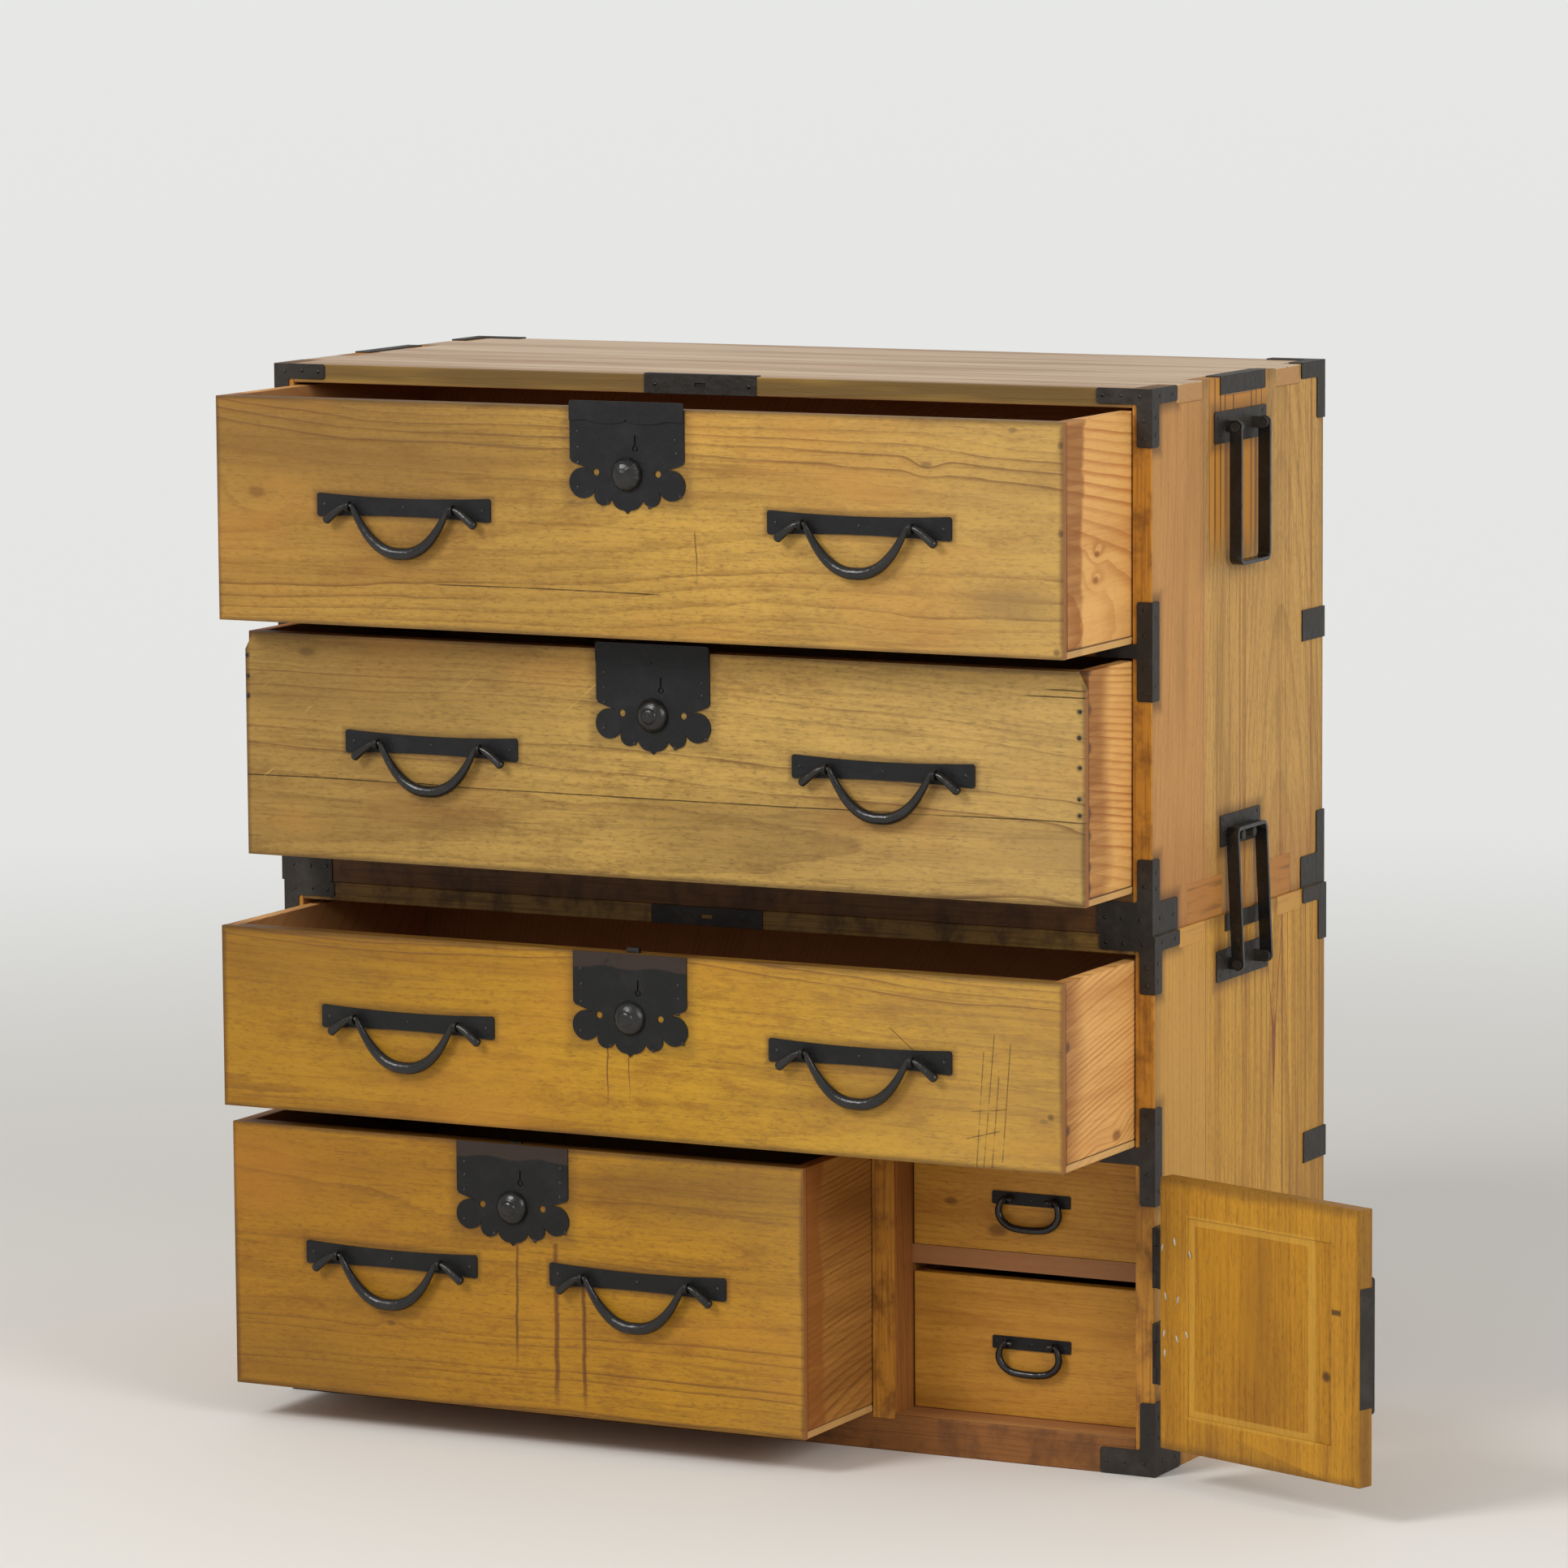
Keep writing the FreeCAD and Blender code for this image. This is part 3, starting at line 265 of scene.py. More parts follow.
# %% Growth rings
class Grain:
    """Masks of one board: years, streaks, pores, knots and slow changes of tone."""

    def __init__(self, recipe, along, face, heart, gap, taper, wander, seed, knots):
        axes = [recipe.x, recipe.y, recipe.z]
        u, v, w = axes[along], axes[3 - along - face], axes[face]

        def speckle(stretch, scale, detail, roughness=0.5, shift=seed):
            """Noise drawn out along the grain."""
            place = recipe.vector(u * stretch + shift, v * scale, w * scale)
            return recipe.noise(place, detail=detail, roughness=roughness)

        self.along = u
        side = v - heart[0] + (speckle(1.4, 5.0, 2.0) - 0.5) * wander
        deep = w - heart[1]
        quick = speckle(7.0, 36.0, 3.0) - 0.5
        radius = (side * side + deep * deep) ** 0.5 + u * taper + quick * (wander * 0.11)
        self.core = 0.0
        for at_u, at_v, size in knots:
            off = recipe.far(recipe.vector((u - at_u) * 0.55, v - at_v, 0.0))
            radius = radius + off.step(size * 3.6, 0) * size * 1.3
            self.core = off.step(size, size * 0.35) + self.core
        ring = radius / gap
        part = ring.math("FRACT")
        year = recipe.node("TexWhiteNoise", {"noise_dimensions": "1D"}, {"W": ring.math("FLOOR") + seed})
        self.late = part.step(0.42, 0.93) * part.step(1.0, 0.96) * (year * 0.8 + 0.2)
        self.strong = part.step(0.72, 0.94) * part.step(1.0, 0.97) * year.step(0.55, 0.95)
        self.mottle = speckle(13.0, 34.0, 6.0, 0.72)
        self.cloud = speckle(2.6, 5.0, 4.0, 0.6, -seed)
        self.tone = speckle(1.3, 16.0, 4.0, 0.6)
        self.streak = speckle(3.0, 120.0, 4.0, 0.62)
        self.pore = speckle(30.0, 640.0, 2.0, 0.6)
        self.fleck = speckle(110.0, 330.0, 3.0, 0.7)
        self.line = speckle(9.0, 330.0, 2.0, shift=-seed)
        vein = speckle(1.1, 42.0, 3.0) - 0.5
        self.vein = abs(vein).step(0.018, 0.003) * self.tone.step(0.36, 0.6)


class Wood:
    """What a board is: its colours, and how strongly rings, streaks, pores and mottling show."""

    def __init__(self, pale, dark, rings=0.4, streaks=0.35, pores=0.35, gloss=0.5, mottle=0.25):
        self.pale = linear(*pale)
        self.dark = linear(*dark)
        self.deep = [channel * 0.5 for channel in self.dark[:3]] + [1.0]
        self.bright = [min(1.0, channel * 1.2) for channel in self.pale[:3]] + [1.0]
        self.rings = rings
        self.streaks = streaks
        self.pores = pores
        self.gloss = gloss
        self.mottle = mottle


def plank(name, wood, along, face, heart, gap, taper, wander, seed, marks=None, knots=()):
    """A board's finish. Marks is a function that lays on what happened to it."""
    recipe = Recipe(name)
    grain = Grain(recipe, along, face, heart, gap, taper, wander, seed, knots)
    recipe.colour = recipe.mix(wood.pale, wood.dark, (grain.late * wood.rings).math("MINIMUM", 1.0))
    for shade, share in (
            (wood.dark, grain.streak.step(0.5, 0.76) * wood.streaks),
            (wood.bright, grain.streak.step(0.47, 0.28) * (wood.streaks * 0.9)),
            (wood.deep, grain.pore.step(0.6, 0.76) * wood.pores),
            (wood.deep, grain.fleck.step(0.51, 0.7) * (wood.pores * 0.85)),
            (wood.bright, grain.fleck.step(0.49, 0.3) * (wood.pores * 0.95)),
            (wood.dark, grain.line.step(0.52, 0.7) * (wood.streaks * 0.9)),
            (wood.deep, grain.vein * (wood.mottle * 0.65)),
            (wood.dark, grain.mottle.step(0.5, 0.72) * wood.mottle),
            (wood.bright, grain.mottle.step(0.5, 0.28) * wood.mottle),
            (wood.dark, grain.tone.step(0.44, 0.72) * 0.55),
            (wood.bright, grain.cloud.step(0.52, 0.74) * 0.4)):
        recipe.coat(shade, share)
    if knots:
        recipe.stain(grain.core, wood.deep, 0.75)
    recipe.height = grain.late * 0.35 - grain.pore.step(0.58, 0.75) * 0.3 + grain.streak * 0.25
    if marks:
        marks(recipe, grain)
    return recipe.finish(grain.cloud * 0.18 + (wood.gloss - 0.06), 0.0004, Specular_IOR_Level=0.32)


# %% [markdown]
# Everything that happened to a board in a century is a mark: the halo where iron stained the
# wood, grime along the edges that hands and drawers rub, drips, cracks and pale scratches.
# Each mark is a mask made from the place on the chest, so it lies where it does on the object.

# %% Marks on boards
grime = linear(58, 34, 14)
rust_brown = linear(118, 64, 24)
crack_brown = linear(40, 22, 9)
# A darker brown laid on the inner faces of drawers and boxes as painted shade of the interior.
painted_inner_shade = linear(150, 100, 60)
# A near-black painted into keyholes and bolt slots as painted shade of the hole.
painted_hole_shade = linear(14, 10, 8)


def edge_grime(recipe, grain, first, second, box, reach, share):
    """Lays dirt inside a board's outline, strongest at its edges and broken up by the grain."""
    depth = depth_in(first, second, box) + (grain.cloud - 0.5) * (reach * 1.6)
    recipe.stain(depth.step(reach, 0), grime, share)


def line_mark(recipe, grain, across, at, width, wobble):
    """A thin line along the grain, such as a crack or a seam, that wanders a little."""
    wander = (recipe.noise(recipe.vector(grain.along * 4.0, at * 50.0, 0.0), detail=3.0) - 0.5) * wobble
    return abs(across + wander - at).step(width, width * 0.3)


def spots(recipe, first, second, places, size):
    """A soft spot at each of some places."""
    mask = 0.0
    for a, b in places:
        mask = recipe.far(recipe.vector(first - a, second - b, 0.0)).step(size, size * 0.3) + mask
    return mask


# %% [markdown]
# The wide fronts are soft paulownia, rubbed with oil and smoke until it turned olive gold. The
# upper two are greyer, the lower two warmer. Each front has its own rings and its own marks.
# The ends of the fronts stayed redder, like the sides that lie in their rabbets.

# %% Wide drawer fronts
end_skin = 0.0006
end_red = linear(150, 94, 48)
lock_plate_reach = (0.066, 0.095)
plate_reach = (0.104, 0.011)
rub_reach = 0.05
front_wander = 0.075


def joint_place(name):
    return [joint for joint in frame["joints"] if joint["name"] == name][0]["pos_m"]


def pull_places(key):
    """Where the pulls of one drawer turn."""
    names = [joint["name"] for joint in frame["joints"]]
    return [joint_place(name) for name in names if name.startswith(key) and name.endswith("bail_swing")]


def middle_of(node):
    low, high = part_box(node)
    return (low.x + high.x) / 2


def front_ground(recipe, grain, wood, smoke):
    """Smoke clouds; a front is darker to the left and paler and greyer to the right."""
    x, z = recipe.x, recipe.z
    for place, reach, share in smoke:
        cloud = recipe.far(recipe.vector((x - place[0]) * 0.35, z - place[1], 0.0))
        cloud = cloud + (grain.cloud - 0.5) * reach
        recipe.stain(cloud.step(reach, reach * 0.1), linear(104, 76, 34), share)
    recipe.stain(x.step(0.15, -0.5), wood.dark, 0.42)
    recipe.stain(x.step(0.00, 0.5), linear(186, 154, 104), 0.26)
    recipe.stain(grain.cloud.step(0.48, 0.7), linear(170, 104, 38), 0.3)
    recipe.stain(grain.strong * grain.tone.step(0.36, 0.56), linear(96, 58, 20), 0.55)


def front_halos(recipe, grain, key, lock_x, top):
    """Grime round the lock and the pulls, and wood rubbed brown under each pull."""
    x, z = recipe.x, recipe.z
    wide, tall = lock_plate_reach
    halo = recipe.near(x, z, ((lock_x - wide, lock_x + wide), (top - tall, top)), 0.016)
    recipe.stain(halo, grime, 0.34)
    wide, tall = plate_reach
    for px, _, pz in pull_places(key):
        halo = recipe.near(x, z, ((px - wide, px + wide), (pz - tall, pz + tall)), 0.008)
        recipe.stain(halo, grime, 0.45)
        rub = recipe.near(x, z, ((px - rub_reach, px + rub_reach), (pz - 0.055, pz - 0.02)), 0.045)
        recipe.stain(rub * grain.tone.step(0.35, 0.65), rust_brown, 0.28)


def front_damage(recipe, grain, cracks, drips, pins):
    """Cracks along the grain, drips down it and old nail points."""
    x, z = recipe.x, recipe.z
    for at, low, high in cracks:
        crack = line_mark(recipe, grain, z, at, 0.0008, 0.007)
        crack = crack * recipe.near(x, z, ((low, high), (at - 0.05, at + 0.05)), 0.02)
        recipe.stain(crack * grain.mottle.step(0.25, 0.55), crack_brown, 0.8)
        recipe.height = recipe.height - crack * 2.5
    for at, low, high, width in drips:
        wobble = (recipe.noise(recipe.vector(at * 60.0, 0.0, z * 26.0), detail=3.0) - 0.5) * 0.008
        drip = abs(x + wobble - at).step(width, width * 0.2)
        drip = drip * z.step(low, low + 0.05) * z.step(high + 0.004, high)
        recipe.stain(drip * grain.cloud.step(0.16, 0.52), linear(88, 46, 16), 0.8)
    if pins:
        recipe.stain(spots(recipe, x, z, pins, 0.0052), crack_brown, 0.55)


def front_cuts(recipe, grain, cuts):
    """Straight dark cuts between two places each."""
    x, z = recipe.x, recipe.z
    for a, b, c, d in cuts:
        run = ((x - a) * (d - b) - (z - b) * (c - a)) / math.hypot(c - a, d - b)
        cut = abs(run).step(0.0009, 0.0002) * recipe.near(x, z, ((a, c), (b, d)), 0.003)
        recipe.stain(cut * grain.mottle.step(0.28, 0.46), crack_brown, 0.66)


def front_scratches(recipe, wood, seed):
    """Thin pale scratches in a few places."""
    x, z = recipe.x, recipe.z
    scratch = recipe.vector(x * 12.0 + z * 9.0, seed, z * 150.0 - x * 110.0)
    where = recipe.noise(recipe.vector(x * 7.0 + seed, 0.0, z * 7.0), detail=1.0).step(0.57, 0.7)
    pale_line = recipe.noise(scratch, detail=1.0).step(0.72, 0.76) * where
    recipe.stain(pale_line, wood.bright, 0.45)
    recipe.height = recipe.height - pale_line * 0.4


def wide_front(key, wood, seed, heart, gap, taper, knots, cracks=(), drips=(), smoke=(), pins=(), cuts=()):
    node = key + "_drawer_front"
    low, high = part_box(node)
    lock_x = middle_of(key + "_drawer_lock_knob")

    def marks(recipe, grain):
        x, z = recipe.x, recipe.z
        front_ground(recipe, grain, wood, smoke)
        edge_grime(recipe, grain, x, z, ((low.x, high.x), (low.z, high.z)), 0.0065, 0.6)
        front_halos(recipe, grain, key, lock_x, high.z)
        front_damage(recipe, grain, cracks, drips, pins)
        front_scratches(recipe, wood, seed)
        # The keyhole is painted near-black on the wood as painted shade of the hole.
        slot = ((lock_x + 0.004, lock_x + 0.016), (high.z - 0.046, high.z - 0.022))
        recipe.stain(recipe.near(x, z, slot, 0.001), painted_hole_shade, 1.0)
        front_cuts(recipe, grain, cuts)
        # The inner face of the front gets painted shade.
        recipe.stain(recipe.y.step(low.y + 0.019, low.y + 0.0198), painted_inner_shade, 0.85)
        recipe.stain(depth_between(x, low.x, high.x).step(end_skin, 0), end_red, 0.85)

    dress(plank(key + "_front_wood", wood, 0, 1, heart, gap, taper, front_wander, seed, marks, knots), node)


second_pins = [(0.4828, z) for z in (0.803, 0.777, 0.746, 0.715, 0.698)] + [
    (-0.492, z) for z in (0.818, 0.7955, 0.7746)]
third_cuts = [
    (0.395, 0.33, 0.404, 0.46), (0.404, 0.345, 0.416, 0.478), (0.412, 0.33, 0.421, 0.436),
    (0.392, 0.4, 0.428, 0.404), (0.386, 0.372, 0.42, 0.381), (0.425, 0.352, 0.434, 0.47),
    (0.3, 0.478, 0.352, 0.436)]
wide_front(
    "first", Wood((184, 143, 62), (128, 88, 30), 0.52, 0.26, 0.55, mottle=0.62), 3.1,
    (0.985, -0.3), 0.009, 0.03, [(-0.4455, 0.998, 0.008), (0.338, 1.051, 0.005), (0.434, 1.089, 0.004)],
    cracks=[(0.908, -0.22, 0.02)], drips=[(0.0765, 0.905, 0.972, 0.0013)],
    smoke=[((-0.36, 1.075), 0.16, 0.5), ((-0.1, 0.9), 0.08, 0.2), ((0.422, 0.915), 0.03, 0.55)],
    pins=[(0.4868, 1.075), (0.4868, 0.987), (0.4817, 0.868)])
wide_front(
    "second", Wood((182, 146, 72), (122, 89, 37), 0.48, 0.28, 0.58, mottle=0.62), 8.7,
    (0.64, -0.25), 0.0078, 0.02, [(-0.4184, 0.8247, 0.007)],
    cracks=[(0.69, -0.49, 0.48), (0.8168, 0.434, 0.489), (0.825, 0.456, 0.48)],
    smoke=[((-0.3, 0.8), 0.11, 0.35), ((0.1, 0.66), 0.07, 0.35)], pins=second_pins)
wide_front(
    "third", Wood((178, 133, 26), (130, 83, 12), 0.48, 0.24, 0.5, mottle=0.62), 15.2,
    (0.38, -0.32), 0.0088, 0.024, [(0.471, 0.395, 0.004)],
    drips=[(-0.028, 0.36, 0.435, 0.0014), (-0.002, 0.37, 0.43, 0.001)],
    smoke=[((-0.4, 0.5), 0.07, 0.3)], pins=[(0.4785, 0.4)], cuts=third_cuts)
wide_front(
    "fourth", Wood((170, 122, 20), (124, 77, 9), 0.46, 0.24, 0.52, mottle=0.62), 22.9,
    (0.235, -0.3), 0.0092, 0.022, [(-0.3, 0.12, 0.004)],
    drips=[(-0.147, 0.075, 0.215, 0.0024), (-0.1, 0.034, 0.22, 0.0044), (-0.067, 0.032, 0.18, 0.0036)],
    smoke=[((0.1, 0.3), 0.08, 0.35), ((-0.42, 0.07), 0.07, 0.3)])
print("wide fronts dressed")

# %% [markdown]
# The two small fronts behind the door and the door itself are a redder wood with a plainer
# face. Light has not reached them as much, so they are cleaner and warmer.

# %% Small fronts and door
small_wood = Wood((188, 134, 46), (150, 92, 24), 0.34, 0.4, 0.34, 0.46)
for key, seed, knots in (
        ("upper_small", 31.0, ((0.262, 0.262, 0.006), (0.316, 0.235, 0.009))), ("lower_small", 37.0, ())):
    dress(plank(
        key + "_front_wood", small_wood, 0, 1, (0.12, -0.34), 0.004, 0.012, 0.03, seed, None, knots),
        key + "_drawer_front")


def hung_place(recipe):
    """Distance from the hinge across the open door, and height."""
    across = (recipe.x - hinge[0]) * math.cos(door_turn) + (recipe.y - hinge[1]) * math.sin(door_turn)
    return across, recipe.z


hinge = joint_place("cupboard_door_hinge")
door_stands_open = 161
door_turn = math.radians(door_stands_open - 180)
clinched = [
    (0.0296, 0.249), (0.0466, 0.2571), (0.068, 0.2466), (0.0341, 0.1991), (0.0511, 0.1973),
    (0.0318, 0.1601), (0.0499, 0.1568), (0.0635, 0.163), (0.0329, 0.1401)]


def door_marks(recipe, grain):
    across, z = hung_place(recipe)
    edge_grime(recipe, grain, across, z, ((0.0, 0.302), (0.04, 0.322)), 0.012, 0.45)
    worn = recipe.near(across, z, ((0.066, 0.236), (0.078, 0.284)), 0.0045)
    worn = worn * recipe.near(across, z, ((0.074, 0.228), (0.086, 0.276)), 0.001).step(1.0, 0.0)
    recipe.stain(worn, linear(206, 160, 62), 0.45)
    recipe.stain(spots(recipe, across, z, [(0.253, 0.1472)], 0.008), crack_brown, 0.8)
    slit = recipe.near(across, z, ((0.262, 0.272), (0.213, 0.216)), 0.0025)
    recipe.stain(slit, crack_brown, 0.8)


frame_wood = Wood((184, 130, 26), (134, 84, 10), 0.36, 0.48, 0.42, 0.42)
dress(plank(
    "door_frame_wood", frame_wood, 2, 1, (0.9, -0.2), 0.005, 0.01, 0.03, 41.0, door_marks),
    "cupboard_door_frame")
panel_wood = Wood((176, 122, 18), (124, 76, 8), 0.44, 0.5, 0.46, 0.42)
dress(plank(
    "door_panel_wood", panel_wood, 2, 1, (0.66, -0.33), 0.0075, 0.02, 0.04, 44.0, door_marks),
    "cupboard_door_panel")

# %% [markdown]
# Drawer sides, backs and bottoms are pale cedar that never saw the oil. Flat-sawn boards show
# nested arches, with darker lines where each summer ended. The first few centimetres behind
# each front are stained red from the years the drawer stood a little open. Inside, the boards
# are painted a darker brown as painted shade.

# %% Drawer boxes
def drawer_box(key, heart, gap, taper, seed, wood, knots=(), band=0.045, soft=0.005, pins=()):
    """Sides, back and bottom, with a red band that starts behind the front and ends softly."""
    node = key + "_drawer_tray"
    low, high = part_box(node)
    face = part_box(key + "_drawer_front")[0].y
    side = 0.01 if "small" in key else 0.015
    bottom = 0.006 if "small" in key else 0.008

    def marks(recipe, grain):
        x, y, z = recipe.x, recipe.y, recipe.z
        ragged = (grain.cloud - 0.5) * 0.03 + (grain.mottle - 0.5) * 0.012 + (grain.tone - 0.5) * 0.05
        red = (y - face + ragged).step(band + soft, band - soft)
        blotch = grain.tone.step(0.3, 0.62) * 0.35 + grain.streak.step(0.36, 0.6) * 0.3
        recipe.stain(red * (blotch + 0.45), linear(138, 80, 30), 0.76)
        recipe.stain(red * z.step(low.z, high.z), linear(128, 78, 32), 0.3)
        recipe.stain((y - face).step(0.0094, 0.0078), crack_brown, 0.55)
        if pins:
            recipe.stain(spots(recipe, y, z, pins, 0.0085), linear(78, 52, 40), 0.75)
        base = z.step(low.z + bottom + 0.0002, low.z + bottom - 0.0002)
        recipe.stain(base, linear(204, 164, 104), 0.65)
        seam = abs(z - low.z - bottom).step(0.001, 0.0004)
        recipe.stain(seam, crack_brown, 0.8)
        # The inside of the tray gets painted shade.
        recipe.stain(depth_between(x, low.x, high.x).step(side * 0.8, side), painted_inner_shade, 0.8)

    dress(plank(key + "_box_wood", wood, 1, 0, heart, gap, taper, 0.03, seed, marks, knots), node)


cedar = Wood((224, 170, 98), (176, 108, 48), 0.95, 0.16, 0.12, 0.55, 0.1)
old_cedar = Wood((170, 118, 54), (112, 66, 22), 0.9, 0.3, 0.2, 0.55, 0.2)
drawer_box(
    "first", (0.895, 0.28), 0.0065, 0.08, 51.0, cedar, [(-0.302, 0.96, 0.0046), (-0.305, 0.934, 0.005)])
drawer_box(
    "second", (0.56, 0.4), 0.0068, 0.1, 55.0, cedar, (), 0.05, 0.016,
    [(-0.322, z) for z in (0.845, 0.805, 0.7656, 0.6993, 0.6765, 0.645, 0.6236)])
drawer_box(
    "third", (0.3, 0.46), 0.0062, -0.22, 58.0, cedar, [(-0.262, 0.362, 0.008)], 0.034, 0.026,
    [(-0.38, 0.47), (-0.38, 0.385)])
drawer_box("fourth", (0.02, 0.1), 0.0056, -0.1, 61.0, old_cedar)
drawer_box("upper_small", (0.4, 0.45), 0.005, 0.05, 64.0, cedar)
drawer_box("lower_small", (0.02, 0.44), 0.006, 0.1, 66.0, cedar)
print("drawer boxes dressed")

# %% [markdown]
# The boxes' sides, tops and planks are wide cedar boards. Their front edges took the same oil
# as the drawers, so they are darker than the broad faces. Their inner faces get a darker brown
# as painted shade. Behind a hanging handle the sun never bleached the side.

# %% Carcass boards
front_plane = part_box("lower_right_side")[0].y
inner_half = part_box("lower_right_side")[0].x
back_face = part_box("lower_back_panel")[0].y
top_low, top_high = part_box("upper_top_board")
board_seam = -0.092


def front_edge(recipe):
    """1 on the narrow edges that face the front."""
    return recipe.y.step(front_plane + 0.0035, front_plane + 0.0005)


def oiled_edge(recipe, grain, pale=(192, 132, 44), dark=(116, 70, 24)):
    """Makes the edge that faces the front dark, warm and dented."""
    edge = front_edge(recipe)
    worn = recipe.vector(recipe.x * 30.0, 0.0, recipe.z * 22.0)
    worn = recipe.noise(worn, detail=4.0, roughness=0.65)
    shade = recipe.mix(linear(*pale), linear(*dark), worn.step(0.42, 0.66) * 0.8)
    shade = recipe.mix(shade, linear(*dark), grain.line.step(0.46, 0.66) * 0.45)
    shade = recipe.mix(shade, grime, grain.mottle.step(0.52, 0.7) * 0.4)
    recipe.coat(shade, edge * 0.92)
    recipe.height = recipe.height - worn.step(0.6, 0.72) * edge * 1.2


def rail_marks(pale, dark, ends):
    """Planks and rails: oiled in front, painted shade behind and inside, with joint fingers that show in the
    sides.
    """
    def marks(recipe, grain):
        y = recipe.y
        off = abs(recipe.x)
        layers = recipe.noise(recipe.vector(ends[0], y * 9.0, recipe.z * 170.0), detail=3.0)
        shade = recipe.mix(linear(*ends), grime, layers.step(0.5, 0.68) * 0.45)
        recipe.coat(shade, off.step(inner_half + 0.003, inner_half + 0.005) * 0.85)
        oiled_edge(recipe, grain, pale, dark)
        # Behind the front edge, inside the box, the rail gets painted shade.
        behind = y.step(front_plane + 0.002, front_plane + 0.03)
        behind = behind * y.step(-front_plane - 0.0005, -front_plane - 0.004)
        inside = off.step(inner_half + 0.003, inner_half + 0.002)
        recipe.stain(behind * inside, painted_inner_shade, 0.85)
    return marks


def unbleached(recipe, grain, patch):
    """A warm patch with bold lines that fades out at its foot, and a shadow round it."""
    y, z = recipe.y, recipe.z
    wide, (foot, top) = patch
    recipe.stain(recipe.near(y, z, (wide, (foot + 0.02, top)), 0.045), linear(96, 74, 50), 0.34)
    fade = (z + (grain.streak - 0.5) * 0.1).step(foot - 0.005, foot + 0.05)
    mask = recipe.near(y, z, patch, 0.004) * fade
    recipe.stain(mask, linear(194, 128, 38), 0.7)
    bold = recipe.noise(recipe.vector(z * 0.9, y * 150.0, 2.0), detail=3.0).step(0.52, 0.6)
    recipe.stain(mask * bold, linear(92, 50, 18), 0.8)


def resin_streak(recipe, grain, at):
    """A spindle of dark resin whose upper end forks."""
    z = recipe.z
    off = abs(recipe.y - at + (grain.cloud - 0.5) * 0.006)
    spindle = (off - z.step(0.322, 0.425) * 0.0048).step(0.0006, -0.0006)
    spindle = spindle * z.step(0.322, 0.33) * z.step(0.45, 0.42)
    fork = abs(off - (z - 0.405) * 0.17).step(0.0016, 0.0004)
    recipe.stain(spindle + fork * z.step(0.415, 0.425), linear(132, 66, 26), 0.85)


def side_marks(node, iron, lines, salmon, patch=None, streak=None):
    """A side: a redder front board, thin lines behind its seam, and halos round the iron."""
    low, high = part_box(node)
    centre = middle_of(node.split("_")[0] + "_top_board")

    def marks(recipe, grain):
        y, z = recipe.y, recipe.z
        edge_grime(recipe, grain, y, z, ((front_plane, -front_plane), (low.z, high.z)), 0.016, 0.34)
        recipe.stain(y.step(board_seam + 0.012, board_seam - 0.002), linear(*salmon), 0.52)
        rear = recipe.noise(recipe.vector(z * 0.6, y * 200.0, 9.0), detail=1.0).step(0.61, 0.66)
        recipe.stain(rear * y.step(board_seam + 0.004, board_seam + 0.06), rust_brown, lines)
        recipe.stain(abs(y - board_seam).step(0.0012, 0.0003), rust_brown, 0.6)
        recipe.stain(z.step(low.z + 0.15, low.z), linear(148, 88, 36), 0.4)
        recipe.stain(grain.tone.step(0.52, 0.7), linear(138, 104, 56), 0.35)
        if patch:
            unbleached(recipe, grain, patch)
        for box in iron:
            recipe.stain(recipe.near(y, z, box, 0.016) * grain.cloud.step(0.15, 0.55), grime, 0.6)
        if streak:
            resin_streak(recipe, grain, streak)
        # The inner face of the side gets painted shade.
        inner = abs(recipe.x - centre).step(inner_half + 0.002, inner_half + 0.0005)
        recipe.stain(inner, painted_inner_shade, 0.85)
        oiled_edge(recipe, grain)
    return marks


edge_strap = (-0.221, -0.205)
corner_arm = (-0.221, -0.16)
upper_iron_places = [
    ((-0.066, 0.066), (1.053, 1.086)), ((-0.051, 0.051), (0.631, 0.664)),
    (edge_strap, (0.8, 0.905)), (corner_arm, (1.105, 1.121)), (corner_arm, (0.562, 0.596)),
    (edge_strap, (0.562, 0.641)), (edge_strap, (1.061, 1.121))]
lower_iron_places = [
    ((-0.066, 0.066), (0.493, 0.525)), (edge_strap, (0.283, 0.385)), (corner_arm, (0.546, 0.562)),
    (edge_strap, (0.502, 0.562)), (corner_arm, (0.0, 0.027)), (edge_strap, (0.0, 0.077))]
handle_patch = ((-0.0774, 0.069), (0.921, 1.121))
resin_at = 0.084
upper_cedar = Wood((194, 150, 80), (138, 96, 44), 0.5, 0.5, 0.42, 0.52)
lower_cedar = Wood((198, 148, 60), (134, 84, 24), 0.55, 0.4, 0.42, 0.52)
for side, sign in (("left", -1), ("right", 1)):
    upper, lower = "upper_%s_side" % side, "lower_%s_side" % side
    marks = side_marks(upper, upper_iron_places, 0.45, (188, 128, 74), handle_patch)
    dress(plank(
        "upper_%s_wood" % side, upper_cedar, 2, 0, (0.115, sign * 0.43), 0.0085, 0.1, 0.05, 71.0, marks),
        upper)
    marks = side_marks(
        lower, lower_iron_places, 0.75, (196, 146, 72), streak=resin_at if side == "right" else None)
    dress(plank(
        "lower_%s_wood" % side, lower_cedar, 2, 0, (0.095, sign * 0.44), 0.0088, 0.022, 0.04, 75.0, marks),
        lower)


